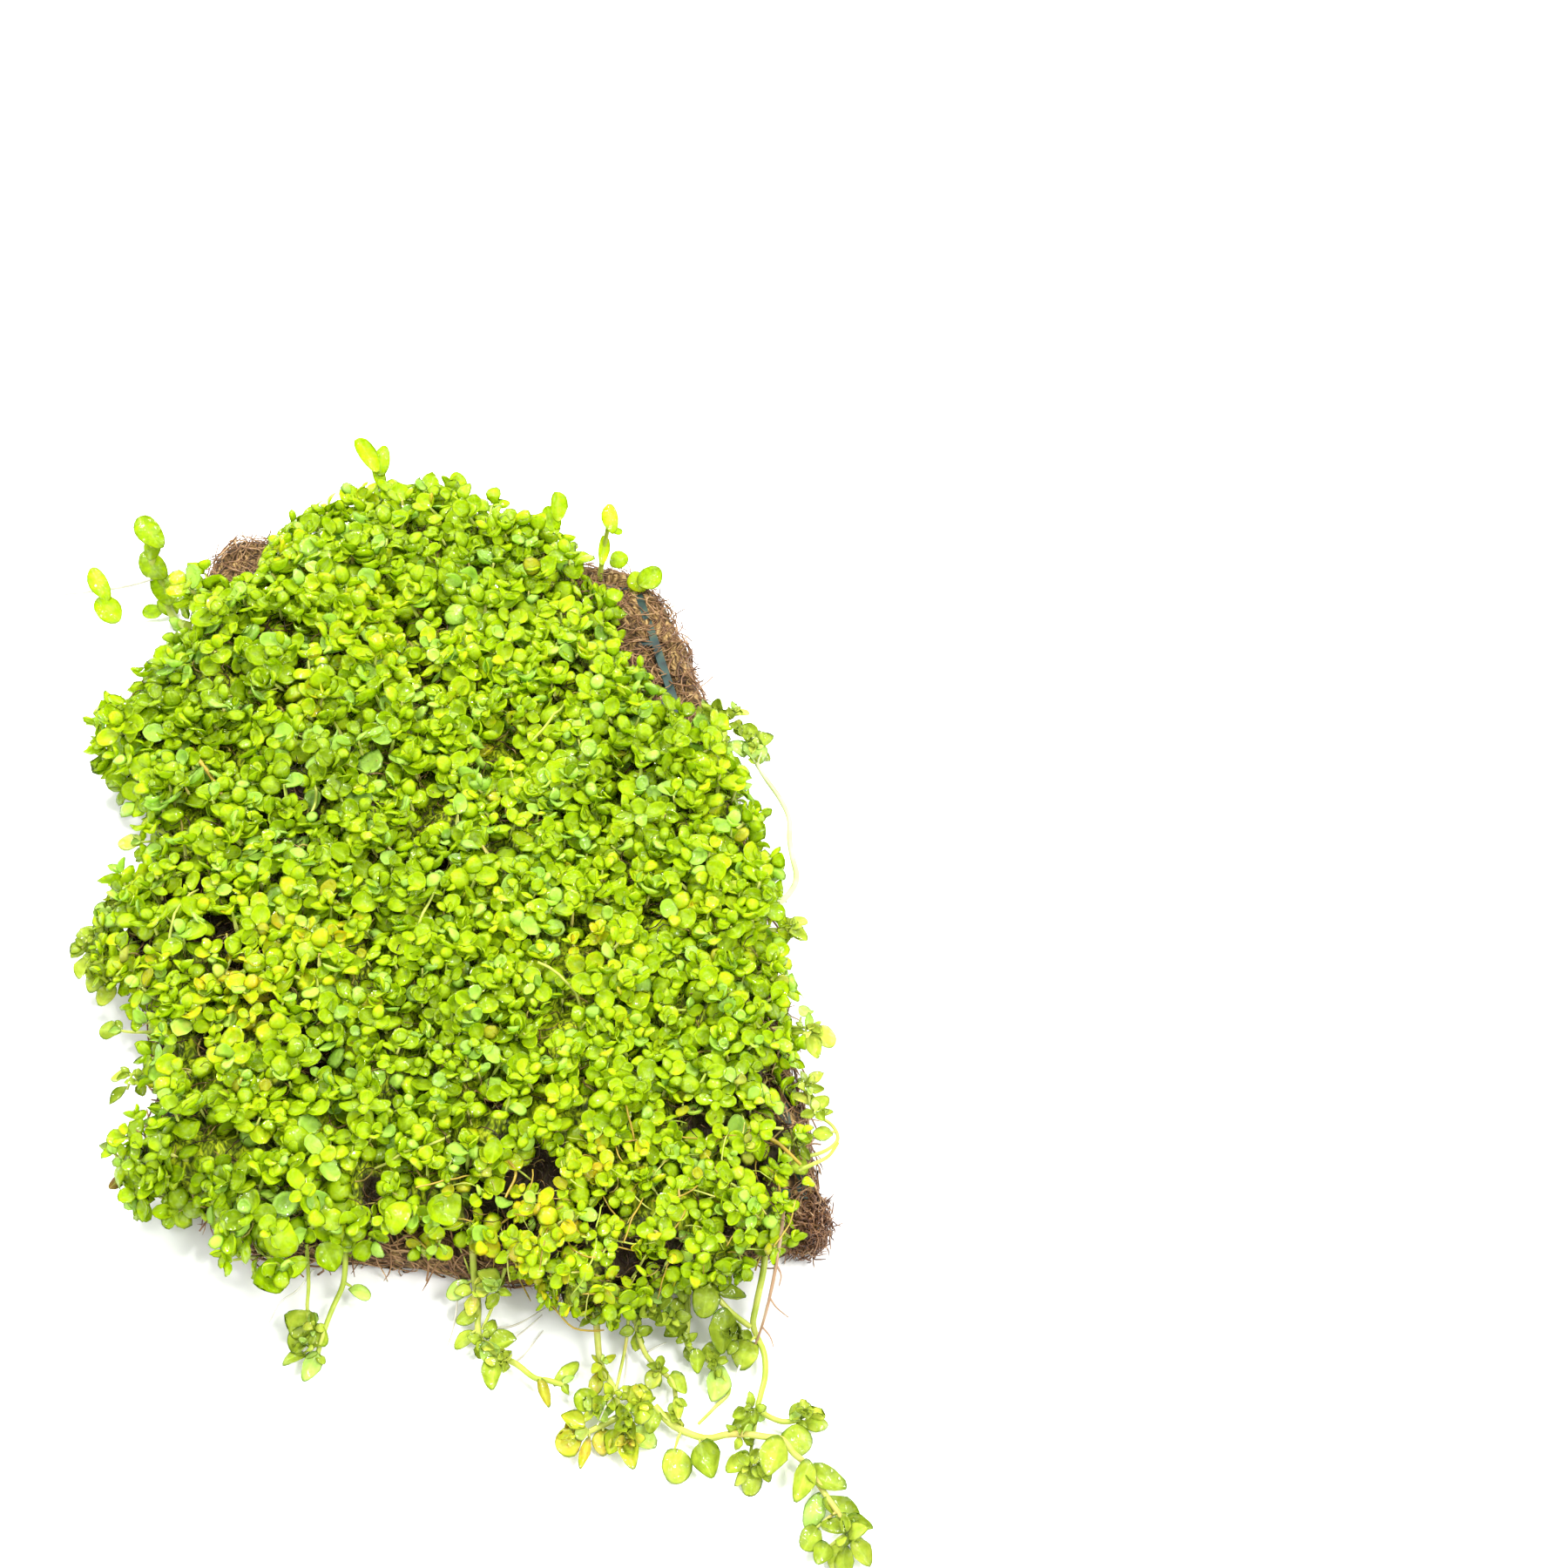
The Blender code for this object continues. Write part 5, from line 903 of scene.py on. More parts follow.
class ShapeWork:
    """A mesh in the making, with a blade map and a tone for each part."""

    def __init__(self):
        self.work = bmesh.new()
        self.blade = self.work.loops.layers.uv.new("blade")
        self.tone = self.work.verts.layers.float.new("tone")

    def face(self, corners, spots, tone):
        made = self.work.faces.new(corners)
        for loop, spot in zip(made.loops, spots):
            loop[self.blade].uv = spot
            loop.vert[self.tone] = tone

    def patch(self, corners, tone):
        self.face([v for v, _ in corners], [s for _, s in corners], tone)

    def add_blade(self, place, half_width, half_length, rng, cup, fold, curl, tone, around=9,
                  rings=(0.6, 1.0), point=0.0):
        """A round blade that points along +Y from its base and faces +Z, closed by its underside.
        cup lifts the rim, fold lifts both halves off the midrib, curl bends the tip down and point
        sharpens it."""
        thick = 0.07 * half_length + 0.03
        phase = rng.uniform(0.0, math.tau)
        uneven = [1.0 + 0.05 * math.sin(2 * math.tau * i / around + phase * 2.0)
                  + 0.05 * math.sin(3 * math.tau * i / around + phase * 3.0) + rng.uniform(-0.025, 0.025)
                  for i in range(around)]
        ripple = rng.uniform(0.02, 0.1) * half_length

        def spot(radius, turn, drop=0.0):
            x = radius * math.sin(turn)
            y = radius * math.cos(turn)
            narrow = 1.0 - 0.14 * max(0.0, -y) - point * max(0.0, y)
            z = (cup * radius * radius + fold * abs(x) - curl * ((y + 1.0) * 0.5) ** 2
                 + ripple * radius * math.sin(3.0 * turn + phase) - drop)
            return place @ Vector((x * half_width * narrow, (1.0 + y) * half_length, z)) * MM, (x, y)

        def ring(radius, drop=0.0):
            made = [spot(radius * uneven[i], math.tau * (i + 0.5) / around, drop) for i in range(around)]
            return [(self.work.verts.new(p), (0.5 + x * 0.5, 0.5 + y * 0.5)) for p, (x, y) in made]

        top, _ = spot(0.0, 0.0)
        bottom, _ = spot(0.0, 0.0, thick)
        upper = [ring(radius) for radius in rings]
        under = ring(0.6, thick)
        crown = (self.work.verts.new(top), (0.5, 0.5))
        heel = (self.work.verts.new(bottom), (0.5, 0.5))
        for i in range(around):
            j = (i + 1) % around
            self.patch((crown, upper[0][j], upper[0][i]), tone)
            for inner, outer in zip(upper, upper[1:]):
                self.patch((inner[i], inner[j], outer[j], outer[i]), tone)
            self.patch((upper[-1][i], upper[-1][j], under[j], under[i]), tone)
            self.patch((heel, under[i], under[j]), tone)

    def add_strand(self, points, radii, sides, tone):
        """A closed strand through the points, with a radius at each."""
        rings = []
        for i, point in enumerate(points):
            ahead = points[min(i + 1, len(points) - 1)] - points[max(i - 1, 0)]
            turn = ahead.to_track_quat("Z", "Y")
            rings.append([self.work.verts.new((point + turn @ Vector((
                math.cos(math.tau * k / sides), math.sin(math.tau * k / sides), 0.0)) * radii[i]) * MM)
                for k in range(sides)])
        spots = ((0.5, 0.5),) * max(4, sides)
        for low, high in zip(rings, rings[1:]):
            for k in range(sides):
                m = (k + 1) % sides
                self.face((low[k], low[m], high[m], high[k]), spots, tone)
        self.face(rings[0][::-1], spots, tone)
        self.face(rings[-1], spots, tone)

    def finish(self, name, group):
        bmesh.ops.recalc_face_normals(self.work, faces=self.work.faces)
        mesh = bpy.data.meshes.new(name)
        self.work.to_mesh(mesh)
        self.work.free()
        mesh.shade_smooth()
        group.objects.link(bpy.data.objects.new(name, mesh))


def shape_group(name, count, make, seed):
    """A collection of count variants of a shape, for a tree to pick from."""
    group = bpy.data.collections.new(name)
    for i in range(count):
        shape = ShapeWork()
        make(shape, random.Random(seed * 100 + i))
        shape.finish("%s_%02d" % (name, i), group)
    return group


def pair_of_blades(shape, rng, height, radius, lift, turn, width=(0.9, 1.08), fold=(0.0, 0.22), **blade):
    """Two blades that face each other across the stem, lifted off the level by lift degrees."""
    for side in (0.0, 180.0):
        size = rng.uniform(*radius)
        around_stem = Matrix.Rotation(math.radians(turn + side + rng.uniform(-16, 16)), 3, "Z")
        raised = Matrix.Rotation(math.radians(rng.uniform(*lift)), 3, "X")
        rolled = Matrix.Rotation(math.radians(rng.uniform(-30, 30)), 3, "Y")
        turned = around_stem @ raised @ rolled
        place = turned.to_4x4()
        place.translation = (turned @ Vector((0.0, rng.uniform(0.1, 0.35), 0.0))
                             + Vector((0.0, 0.0, height + rng.uniform(-0.25, 0.25))))
        shape.add_blade(place, size * rng.uniform(*width), size, rng,
                        rng.choice((-0.55, -0.4, 0.3, 0.5, 0.65)) * size, rng.uniform(*fold) * size,
                        rng.uniform(0.0, 0.5) * size, rng.uniform(0.0, 1.0), **blade)


def make_crown(shape, rng):
    """The small raised leaves at the top of a sprig."""
    pair_of_blades(shape, rng, 2.4, (0.8, 1.1), (22, 62), 0.0, width=(0.75, 1.0), fold=(0.0, 0.5), around=10)


def make_upper(shape, rng):
    """The pair below the crown, set crosswise to it."""
    pair_of_blades(shape, rng, 1.6, (1.1, 1.45), (0, 42), 90.0, width=(0.78, 1.04), fold=(0.0, 0.45),
                   around=12, rings=(0.5, 0.85, 1.0))


def make_lower(shape, rng):
    """The lowest pair of a sprig, the widest and nearly level."""
    pair_of_blades(shape, rng, 0.5, (1.2, 1.55), (-16, 20), 0.0)


def make_star(shape, rng):
    """A whole young sprig at the tip of a runner: folded, pointed leaves that spread like a star."""
    blade = {"width": (0.6, 0.85), "fold": (0.2, 0.6), "point": 0.35}
    pair_of_blades(shape, rng, 0.8, (0.6, 0.8), (35, 75), 0.0, **blade)
    pair_of_blades(shape, rng, 0.4, (0.95, 1.3), (5, 50), 90.0, around=10, rings=(0.5, 0.85, 1.0), **blade)
    pair_of_blades(shape, rng, 0.0, (0.9, 1.3), (-15, 30), 0.0, around=10, rings=(0.5, 0.85, 1.0), **blade)


def make_stalk(shape, rng):
    """The bowed stem of a sprig, from down in the tangle up to the crown."""
    bow = Vector((rng.uniform(-0.5, 0.5), rng.uniform(-0.5, 0.5), 0.0))
    points = [Vector((0.0, 0.0, -3.0)), bow + Vector((0, 0, -1.4)), bow * 0.5 + Vector((0, 0, 0.5)),
              Vector((0.0, 0.0, 2.3))]
    shape.add_strand(points, (0.2, 0.23, 0.21, 0.13), 5, rng.uniform(0.2, 1.0))


def make_single_blade(shape, rng):
    """A blade with a half-width and a half-length of 1 mm, for a point's size to scale."""
    shape.add_blade(Matrix(), 1.0, 1.0, rng, rng.choice((-0.45, -0.3, 0.25, 0.45)), rng.uniform(0.1, 0.6),
                    rng.uniform(0.1, 0.6), rng.uniform(0.0, 1.0), around=18, rings=(0.4, 0.72, 0.93, 1.0),
                    point=rng.uniform(0.05, 0.4))


def make_round_blade(shape, rng):
    """A plump round blade of the far shoots."""
    shape.add_blade(Matrix(), 1.0, 1.0, rng, rng.choice((-0.3, -0.15, 0.2)), rng.uniform(0.0, 0.2),
                    rng.uniform(0.0, 0.3), rng.uniform(0.0, 1.0), around=18, rings=(0.4, 0.72, 0.93, 1.0))


def wander(rng, place, count, step, bend, stray, rise):
    """Points of a strand that wanders level, turning by bend and more or less stray at each step."""
    heading = 0.0
    points = [Vector(place)]
    for i in range(count):
        heading += bend + rng.uniform(-stray, stray)
        points.append(points[-1] + Vector((math.cos(heading), math.sin(heading), rise(i))) * step)
    middle = sum(points, Vector()) / len(points)
    return [p - Vector((middle.x, middle.y, 0.0)) for p in points]


def make_fibre(shape, rng):
    """A curled husk fibre that lies flat."""
    points = wander(rng, (0.0, 0.0, 0.1), 9, 1.1, rng.uniform(-0.3, 0.3), 0.4,
                    lambda i: rng.uniform(-0.16, 0.2))
    thick = rng.uniform(0.09, 0.16)
    shape.add_strand(points, [thick] * 9 + [thick * 0.4], 4, rng.uniform(0.0, 1.0))


def make_curl(shape, rng):
    """A short springy husk fibre, curled and standing a little out."""
    points = wander(rng, (0.0, 0.0, 0.0), 7, 0.5, rng.choice((-1, 1)) * rng.uniform(0.3, 0.9), 0.35,
                    lambda i: rng.uniform(-0.1, 0.7))
    shape.add_strand(points, [0.08] * 6 + [0.07, 0.04], 4, rng.uniform(0.0, 1.0))


def make_stray(shape, rng):
    """A long bare stem that wanders over the leaves."""
    points = wander(rng, (0.0, 0.0, 1.3), 8, 1.3, rng.uniform(-0.2, 0.2), 0.15,
                    lambda i: 0.22 if i < 4 else -0.25)
    shape.add_strand(points, [0.17] * 8 + [0.1], 5, rng.uniform(0.0, 1.0))


def make_gap_fibre(shape, rng):
    """A fibre of the tangle under the leaves."""
    points = wander(rng, (0.0, 0.0, 0.15), 5, 0.8, rng.choice((-1, 1)) * rng.uniform(0.2, 0.7), 0.4,
                    lambda i: rng.uniform(-0.2, 0.35))
    shape.add_strand(points, (0.07, 0.09, 0.1, 0.09, 0.08, 0.05), 3, rng.uniform(0.0, 1.0))


def make_gap_stem(shape, rng):
    """A short bent stem that crosses a gap between the leaves."""
    points = wander(rng, (0.0, 0.0, 0.1), 5, 0.7, rng.choice((-1, 1)) * rng.uniform(0.15, 0.6), 0.25,
                    lambda i: rng.uniform(-0.2, 0.4))
    shape.add_strand(points, (0.1, 0.13, 0.14, 0.13, 0.11, 0.07), 5, rng.uniform(0.0, 1.0))


# Pieces

def make_mound():
    """The even surface that the sprigs stand on, with where they grow, how strongly, and where the
    husk lies bare between them, which also sets where the tangle gets its painted shade."""
    mound = slab_mesh("mound", inset(smooth_loop(CARPET_OUTLINE, 3), MOUND_INSET), MOUND_LOW, MOUND_HIGH,
                      MOUND_VOXEL, 6)
    mesh = mound.data
    normals = [v.normal.copy() for v in mesh.vertices]
    cover = []
    front = []
    bare = []
    vigour = []
    yellowing = []
    for vertex, normal in zip(mesh.vertices, normals):
        place = vertex.co / MM

        # Lumps on a slow swell
        distances, _ = noise.voronoi(place / MOUND_LUMP_PITCH)
        lump = max(0.0, 1.0 - (distances[0] / 0.7) ** 2)
        height = MOUND_LUMP * lump + MOUND_SWELL * noise.noise(place / MOUND_SWELL_PITCH)

        # How yellow, how far off, how near and how small the sprigs are here
        yellow = max(share * max(0.0, 1.0 - (math.hypot(place.x - x, place.y - y) / radius) ** 2)
                     for x, y, radius, share in YELLOW_PLACES)
        far = held((place.y - FAR_START) / FAR_LENGTH)
        near = held((NEAR_START - place.y) / NEAR_LENGTH)
        middle_x, middle_y, half_x, half_y = SMALL_LEAVES
        small = max(0.0, 1.0 - ((place.x - middle_x) / half_x) ** 2 - ((place.y - middle_y) / half_y) ** 2)
        small = min(1.0, 2.0 * small)

        # Sprigs grow fewer far off, not on the underside, and not in the openings
        grows = (SPRIG_SHARE + (1.0 - SPRIG_SHARE) * small) * (1.0 - 0.3 * far)
        if place.z < MOUND_LOW - 0.4 or normal.z < -0.35:
            grows = 0.0
        # open_ground marks the bare husk for the gap stems and fibres, and how much painted shade the tangle
        # gets there
        open_ground = 0.3 + 0.25 * yellow
        for x, y, radius in THIN_PLACES:
            away = math.hypot(place.x - x, place.y - y)
            if away < radius:
                grows = 0.0
            if away < radius + 1.0:
                open_ground = 1.0
                height -= THIN_DEPTH * min(1.0, radius + 1.0 - away)

        vertex.co += normal * height * MM
        cover.append(grows)
        front.append(small if place.z > MOUND_LOW + 1.0 else 0.0)
        bare.append(open_ground if grows or open_ground == 1.0 else 0.0)
        vigour.append(1.06 + 0.26 * far - 0.1 * near - 0.2 * small)
        yellowing.append(yellow)
    give_values(mesh, "cover", cover)
    give_values(mesh, "front", front)
    give_values(mesh, "bare", bare)
    give_values(mesh, "vigour", vigour)
    give_values(mesh, "yellowing", yellowing)
    return mound


def make_tangle(mound, finish):
    """The shaded tangle of stems under the leaves, seen only where they part; its finish paints the shade."""
    mesh = mound.data.copy()
    normals = [v.normal.copy() for v in mesh.vertices]
    for vertex, normal in zip(mesh.vertices, normals):
        rough = 0.6 * noise.noise(vertex.co / (1.5 * MM))
        vertex.co -= normal * (TANGLE_DEPTH + rough) * MM
        vertex.co.z = max(vertex.co.z - 0.4 * MM, SLAB_THICKNESS * 0.9 * MM)
    dress(mesh, finish)
    return add_object("undergrowth", mesh)


def make_foliage(mound, tree, finishes):
    """The sprigs in layers that share their places, the far and the near half apart, and the stems and
    fibres between them. Crowding is the most places to a square metre, before the spacing thins them."""
    shared = {"cover": "cover", "side": 0.0, "spacing": SPRIG_SPACING * MM, "crowding": 6.0e5,
              "least_size": 0.72, "greatest_size": 1.18, "upright": 0.4, "wander": 0.45, "seed": 3}
    crowns = shape_group("crown_shapes", 7, make_crown, 1)
    uppers = shape_group("upper_leaf_shapes", 7, make_upper, 2)
    lowers = shape_group("lower_leaf_shapes", 7, make_lower, 3)
    stalks = shape_group("stalk_shapes", 5, make_stalk, 4)
    strays = shape_group("stray_shapes", 6, make_stray, 5)
    fibres = shape_group("gap_fibre_shapes", 8, make_gap_fibre, 16)
    gap_stems = shape_group("gap_stem_shapes", 6, make_gap_stem, 17)
    pieces = [
        grow("foliage_lower_leaves", mound, tree, shapes=lowers, finish=finishes["leaf"], **shared),
        grow("foliage_stems", mound, tree, shapes=stalks, finish=finishes["stem"], **shared)]
    for half, side in (("far", 1.0), ("near", -1.0)):
        for layer, shapes in (("crowns", crowns), ("leaves", uppers)):
            pieces.append(grow("%s_%s" % (half, layer), mound, tree, shapes=shapes, finish=finishes["leaf"],
                               **{**shared, "side": side}))
    shared["least_size"] = 0.6
    pieces.append(grow("stray_stems", mound, tree, shapes=strays, finish=finishes["stem"],
                       **{**shared, "spacing": STRAY_SPACING * MM, "crowding": 4000.0, "upright": 0.2,
                          "seed": 8}))
    for name, finish, seed in (("front_green_stems", "stem", 11), ("front_tan_stems", "tan_stem", 12)):
        pieces.append(grow(name, mound, tree, shapes=strays, finish=finishes[finish],
                           **{**shared, "cover": "front", "spacing": FRONT_STEM_SPACING * MM,
                              "least_size": 0.45, "greatest_size": 0.85, "upright": 0.3, "seed": seed}))
    pieces.append(grow("gap_stems", mound, tree, shapes=gap_stems, finish=finishes["gap_stem"],
                       **{**shared, "cover": "bare", "spacing": GAP_STEM_SPACING * MM, "wander": 0.3,
                          "seed": 9}))
    pieces.append(grow("gap_fibres", mound, tree, shapes=fibres, finish=finishes["gap_fibre"],
                       **{**shared, "cover": "bare", "spacing": GAP_FIBRE_SPACING * MM, "crowding": 1.2e6,
                          "least_size": 0.5, "greatest_size": 1.0, "upright": 0.0, "seed": 10}))
    for piece in pieces:
        keep_above_floor(piece)
    return pieces


def make_slab(finishes, tree):
    """The felt slab and the loose fibres that lie on it where the leaves leave it bare. The felt has
    swollen up through the net, but for the one strand that still shows."""
    edge = smooth_loop(SLAB_OUTLINE, 3)
    slab = slab_mesh("fibre_slab", inset(edge, 0.35), 0.1, SLAB_THICKNESS, SLAB_VOXEL, 2)
    edge = [tuple(p) for p in edge]
    carpet = [tuple(p) for p in inset(smooth_loop(CARPET_OUTLINE, 1), 1.0)]
    mesh = slab.data
    normals = [v.normal.copy() for v in mesh.vertices]
    cover = []
    for vertex, normal in zip(mesh.vertices, normals):
        place = vertex.co / MM
        bare = depth_inside(place.x, place.y, carpet) < 3.0
        if normal.z > -0.5:
            rough = SLAB_LUMP * noise.noise(place / 2.2) + 0.5 * SLAB_LUMP * noise.noise(place / 0.9)
            vertex.co += normal * (rough - 0.2) * MM
        if bare and place.z > SLAB_THICKNESS - 1.0:
            from_edge = held((depth_inside(place.x, place.y, edge) - 0.4) / 2.5)
            from_strand = held(distance_to(place.x, place.y, *BARE_STRAND) - 0.9)
            vertex.co.z += SWOLLEN * from_edge * from_strand * MM
        vertex.co.z = max(vertex.co.z, 0.0)
        cover.append(1.0 if normal.z > -0.3 and (bare or place.z < SLAB_THICKNESS - 1.0) else 0.0)
    give_values(mesh, "cover", cover)
    give_values(mesh, "vigour", [1.0] * len(cover))
    dress(mesh, finishes["felt"])
    fibres = shape_group("fibre_shapes", 9, make_fibre, 6)
    loose = grow("loose_fibres", slab, tree, shapes=fibres, cover="cover", side=0.0,
                 spacing=LOOSE_FIBRE_SPACING * MM, crowding=1.4e6, least_size=0.45, greatest_size=1.0,
                 upright=0.0, wander=0.25, seed=5, finish=finishes["fibre"])
    keep_above_floor(loose)
    return slab, loose


def make_tuft(finishes, tree):
    """Springy fibres that stand out at the near-right corner."""
    ball = bmesh.new()
    bmesh.ops.create_icosphere(ball, subdivisions=3, radius=1.0)
    for vertex in ball.verts:
        vertex.co = Vector([c * r + p for c, r, p in zip(vertex.co, TUFT_RADII, TUFT_PLACE)]) * MM
    mesh = bpy.data.meshes.new("tuft_core")
    ball.to_mesh(mesh)
    ball.free()
    core = add_object("tuft_core", mesh)
    give_values(mesh, "cover", [1.0 if v.co.z > 0.4 * MM else 0.0 for v in mesh.vertices])
    give_values(mesh, "vigour", [1.0] * len(mesh.vertices))
    curls = shape_group("curl_shapes", 9, make_curl, 7)
    tuft = grow("corner_tuft", core, tree, shapes=curls, cover="cover", side=0.0,
                spacing=CURL_SPACING * MM, crowding=1.6e7, least_size=0.6, greatest_size=1.15,
                upright=0.0, wander=0.7, seed=4, finish=finishes["tuft"])
    keep_above_floor(tuft)
    remove(core)
    return tuft


def route_object(name, routes):
    """A curve with one spline for each (radius, points) route."""
    curve = bpy.data.curves.new(name, "CURVE")
    curve.dimensions = "3D"
    for radius, points in routes:
        spline = curve.splines.new("POLY")
        spline.points.add(len(points) - 1)
        for point, place in zip(spline.points, points):
            point.co = (place.x * MM, place.y * MM, place.z * MM, 1.0)
            point.radius = radius * MM
    return add_object(name, curve)


def grow_strands(name, routes, tree, **inputs):
    route = route_object(name + "_route", routes)
    strands = grow(name, route, tree, **inputs)
    remove(route)
    return strands


def grow_pinned(name, pins, tree, **inputs):
    """Shapes at the pins, each a base, facing, aim, size and age."""
    mesh = bpy.data.meshes.new(name + "_pins")
    mesh.from_pydata([pin["base"] * MM for pin in pins], [], [])
    for key in ("facing", "aim", "size"):
        layer = mesh.attributes.new(key, "FLOAT_VECTOR", "POINT")
        layer.data.foreach_set("vector", [c for pin in pins for c in pin[key]])
    give_values(mesh, "age", [pin["age"] for pin in pins])
    points = add_object(name + "_pins", mesh)
    shapes = grow(name, points, tree, **inputs)
    remove(points)
    return shapes


def nearest_on(paths, place):
    """The nearest point of the paths and the way on from there."""
    best = None
    for path in paths:
        for a, b in zip(path, path[1:]):
            along = b - a
            t = held((place - a).dot(along) / along.length_squared)
            point = a + along * t
            if best is None or (point - place).length < (best[0] - place).length:
                best = (point, along.normalized())
    return best


def viewer_pin(place, half_width, half_length, turn, rng):
    """A pin for a leaf that stands up and faces the viewer, turned clockwise from upright in degrees,
    and a little in front of its stem."""
    facing = (Vector(VIEWER) + Vector([rng.uniform(-0.12, 0.12) for _ in range(3)])).normalized()
    upright = (UP - facing * facing.z).normalized()
    aim = Matrix.Rotation(-math.radians(turn), 3, facing) @ upright
    return {"base": Vector(place) + facing * 0.9 - aim * half_length, "facing": facing, "aim": aim,
            "size": (half_width, half_length, (half_width + half_length) * 0.5),
            "age": rng.uniform(0.0, 0.35)}


def make_shoot(name, parts, trees, groups, finishes, rng):
    """One shoot or runner: its stems, a stalk to each leaf, its leaves, sprigs and roots, and a young
    pair of leaves at its tip."""
    far = name.startswith("shoot_far")
    stems = parts["stems"]
    paths = [smooth_path(points, 5) for _, points in stems]
    routes = [(radius, path) for (radius, _), path in zip(stems, paths)]
    pins = []
    for x, y, z, half_width, half_length, *turn in parts["leaves"]:
        if turn:
            pins.append(viewer_pin((x, y, z), half_width, half_length, turn[0], rng))
            continue
        centre = Vector((x, y, z))
        root, onward = nearest_on(paths, centre)
        away = centre - root
        aim = (away.normalized() * min(1.0, away.length / half_length + 0.2) + onward * 0.55).normalized()
        base = centre - aim * half_length
        root, _ = nearest_on(paths, base)
        if (base - root).length > 0.25:
            routes.append((THIN * 0.8, [root, root.lerp(base, 0.5) + UP * 0.1, base + aim * 0.3]))
        sway = Vector([rng.uniform(-0.3, 0.3) for _ in range(3)])
        pins.append({"base": base, "facing": (UP + sway).normalized(), "aim": aim,
                     "size": (half_width * 1.06, half_length, (half_width + half_length) * 0.5),
                     "age": rng.uniform(0.0, 1.0)})
    tip = paths[0][-1]
    onward = (tip - paths[0][-3]).normalized()
    aside = onward.cross(UP).normalized()
    for turn in () if far else (-1.0, 1.0):
        pins.append({"base": tip, "facing": (UP - onward * 0.5).normalized(),
                     "aim": (onward * 0.55 + aside * turn * 0.6 + UP * 0.35).normalized(),
                     "size": (0.5, 0.7, 0.6), "age": 0.75})
    leaf, stem = {"shoot_left_wilted": ("wilted_leaf", "wilted"), "runner_centre": ("turning_leaf", "stem"),
                  "shoot_right_arc": ("shoot_leaf", "pale_stem")}.get(name, ("shoot_leaf", "stem"))
    grown = [grow_pinned(name + "_leaves", pins, trees["pinned"],
                         shapes=groups["rounds" if far else "blades"],
                         finish=finishes["leaf" if far else leaf]),
             grow_strands(name + "_stems", routes, trees["strand"], tip=0.75, sides=8,
                          age=rng.uniform(0.1, 0.8), finish=finishes[stem])]
    sprigs = []
    for x, y, z, size in parts.get("sprigs", ()):
        turn = rng.uniform(0.0, math.tau)
        lean = Vector((rng.uniform(-0.35, 0.35), rng.uniform(-0.55, 0.15), 1.0))
        sprigs.append({"base": Vector((x, y, z)), "facing": lean.normalized(),
                       "aim": Vector((math.cos(turn), math.sin(turn), 0.0)), "size": (size, size, size),
                       "age": rng.uniform(0.0, 1.0)})
    if sprigs:
        grown.append(grow_pinned(name + "_sprigs", sprigs, trees["pinned"], shapes=groups["stars"],
                                 finish=finishes[leaf]))
    roots = [(radius, smooth_path(points, 4)) for radius, points in parts.get("roots", ())]
    if roots:
        grown.append(grow_strands(name + "_roots", roots, trees["strand"], tip=0.5, sides=6,
                                  age=rng.uniform(0.0, 1.0), finish=finishes["pale_root"]))
    piece = join(name + "_grown", grown)
    keep_above_floor(piece)
    return piece


def make_notable_leaves(trees, blades, finishes):
    """The single leaves that have their own places."""
    pins = []
    for x, y, z, half_width, half_length, turn, tilt, age in NOTABLE_LEAVES:
        heading = math.radians(turn)
        lean = math.radians(tilt)
        aim = Vector((math.sin(heading), math.cos(heading), 0.0))
        facing = (UP * math.cos(lean) + aim * math.sin(lean)).normalized()
        aim = (aim - facing * aim.dot(facing)).normalized()
        pins.append({"base": Vector((x, y, z)) - aim * half_length, "facing": facing, "aim": aim,
                     "size": (half_width, half_length, (half_width + half_length) * 0.5), "age": age})
    return grow_pinned("notable_leaves", pins, trees["pinned"], shapes=blades, finish=finishes["leaf"])


def make_crossing_stems(trees, finishes):
    """Long bare stems that lie over the leaves, some green and some dried to tan."""
    made = []
    for dried, name in ((False, "green"), (True, "tan")):
        routes = [(radius, smooth_path(points, 6)) for radius, points, tan in CROSSING_STEMS if tan == dried]
        made.append(grow_strands("crossing_stems_" + name, routes, trees["strand"], tip=0.7, sides=8, age=0.5,
                                 finish=finishes["tan_stem" if dried else "stem"]))
    return join("crossing_stems", made)


def make_root_thread(trees, finishes):
    """The root that hangs off the near-right corner, with three fine side roots."""
    rng = random.Random(17)
    main = smooth_path(ROOT_THREAD, 5)
    routes = [(0.26, main)]
    for i in (12, 18, 24):
        side = Vector((rng.uniform(-2.0, 2.0), -2.0, -1.0))
        start = main[i]
        bend = start + side * 0.5 + Vector((rng.uniform(-0.6, 0.6), 0.0, 0.0))
        end = start + side
        end.z = max(0.3, end.z)
        routes.append((0.12, smooth_path([start, bend, end], 4)))
    root = grow_strands("root_thread", routes, trees["strand"], tip=0.5, sides=7, age=0.3,
                        finish=finishes["root"])
    keep_above_floor(root)
    return root


# Stage

def make_floor():
    """A sheet of matt white paper: plain, with very faint clouds in its white."""
    bpy.ops.mesh.primitive_plane_add(size=FLOOR_SIZE * MM)
    floor = bpy.context.object
    floor.name = "floor"
    material, tree, place = new_finish("matt_white_paper")
    clouds = add(tree, NOISE, {"Vector": place, "Scale": features(60.0), "Detail": 2.0})
    colour = add(tree, RAMP, (clouds,), stops=((0.3, "#F4F4F2"), (0.7, "#F8F8F6")))
    surface = add(tree, "ShaderNodeBsdfPrincipled", {"Base Color": colour, "Roughness": 0.7})
    add(tree, "ShaderNodeOutputMaterial", {"Surface": surface})
    floor.data.materials.append(material)


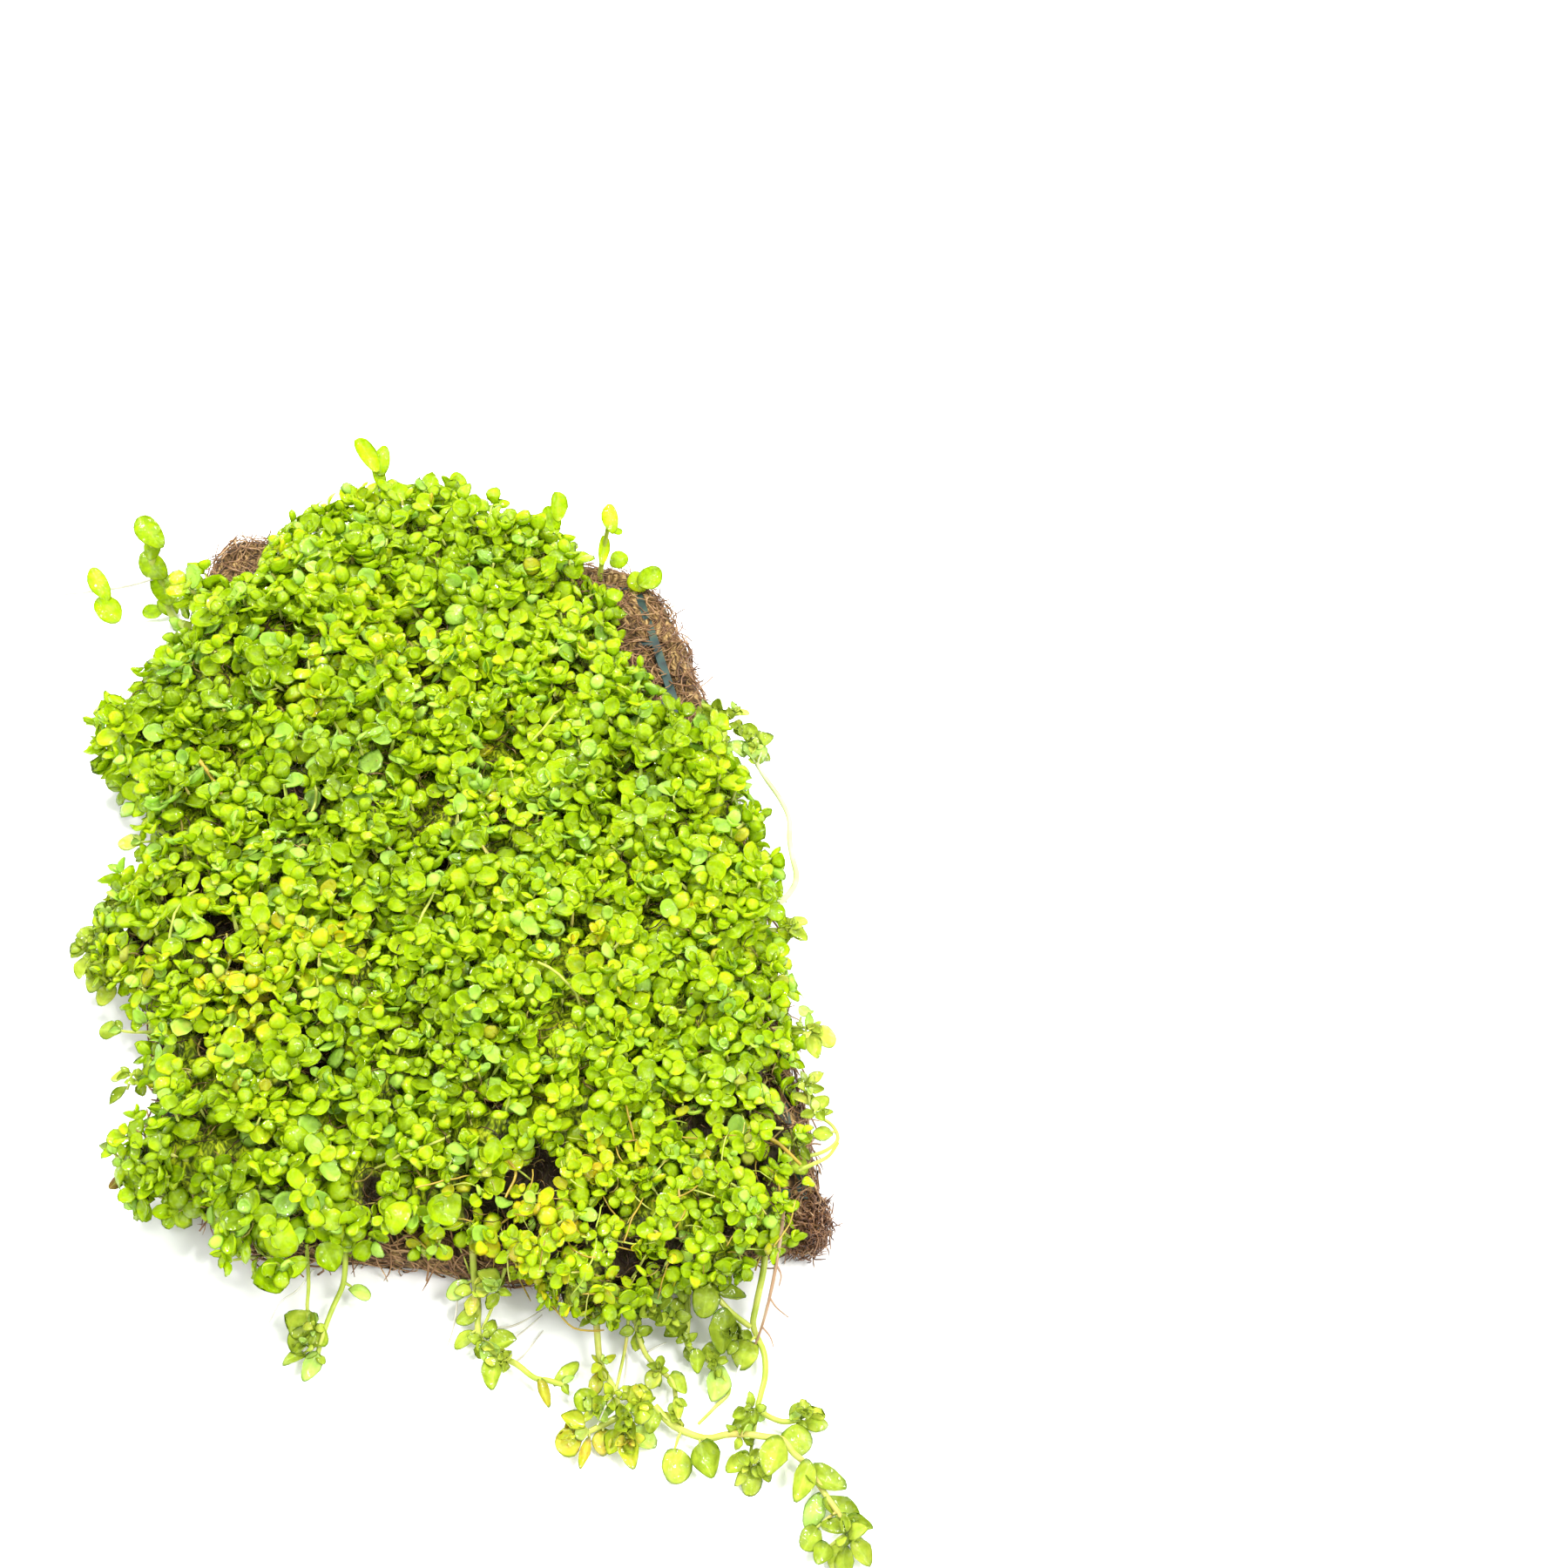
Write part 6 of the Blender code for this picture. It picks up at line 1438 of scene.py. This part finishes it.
def make_lights():
    """The room's even light, and softboxes that point at the middle of the pad."""
    world = bpy.data.worlds.new("soft_room")
    bpy.context.scene.world = world
    world.use_nodes = True
    room = world.node_tree.nodes["Background"]
    room.inputs["Color"].default_value = linear("#FBFCFF")
    room.inputs["Strength"].default_value = ROOM_STRENGTH
    for name, place, size, power in SOFTBOXES:
        light = bpy.data.lights.new(name, "AREA")
        light.shape = "SQUARE"
        light.size = size * MM
        light.energy = power
        softbox = add_object(name, light)
        softbox.location = Vector(place) * MM
        softbox.rotation_euler = (-Vector(place)).to_track_quat("-Z", "Y").to_euler()


def make_camera():
    data = bpy.data.cameras.new("photo_camera")
    data.sensor_width = SENSOR_MM
    data.lens = LENS_MM
    data.clip_start = 1.0 * MM
    camera = add_object("photo_camera", data)
    turned = (Matrix.Rotation(math.radians(-CAMERA_TURN), 4, "Z")
              @ Matrix.Rotation(math.radians(90.0 - CAMERA_DOWN), 4, "X")
              @ Matrix.Rotation(math.radians(CAMERA_ROLL), 4, "Z"))
    camera.matrix_world = Matrix.Translation(Vector(CAMERA_PLACE) * MM) @ turned
    bpy.context.scene.camera = camera
    bpy.context.scene.view_settings.view_transform = "Standard"


def place_piece(piece, node):
    """Let a piece ride the part's one body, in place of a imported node."""
    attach(piece, "root")
    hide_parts(node)


# Set the stage
make_camera()
make_floor()
make_lights()

# Make the finishes and the trees
finishes = make_finishes()
trees = {"scatter": scatter_tree(), "pinned": pinned_tree(), "strand": strand_tree()}

# Make the foliage over the carpet's solid
mound = make_mound()
place_piece(make_tangle(mound, finishes["tangle"]), "leaf_carpet")
for foliage in make_foliage(mound, trees["scatter"], finishes):
    place_piece(foliage, "leaf_carpet")
remove(mound)

# Make the pad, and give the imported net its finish
for pad_piece in make_slab(finishes, trees["scatter"]):
    place_piece(pad_piece, "coir_pad")
place_piece(make_tuft(finishes, trees["scatter"]), "coir_pad")
net = frame["nodes"]["plastic_net"]
net.data.materials.clear()
net.data.materials.append(finishes["net"])

# Make the leaves and stems that stand out, the runners, the shoots and the root
groups = {"blades": shape_group("blade_shapes", 8, make_single_blade, 9),
          "rounds": shape_group("round_blade_shapes", 6, make_round_blade, 14),
          "stars": shape_group("star_shapes", 7, make_star, 12)}
place_piece(make_notable_leaves(trees, groups["blades"], finishes), "leaf_carpet")
place_piece(make_crossing_stems(trees, finishes), "leaf_carpet")
shoot_draws = random.Random(29)
for shoot_name, shoot_parts in SHOOTS.items():
    shoot = make_shoot(shoot_name, shoot_parts, trees, groups, finishes, shoot_draws)
    place_piece(shoot, shoot_name)
place_piece(make_root_thread(trees, finishes), "root_thread_right")
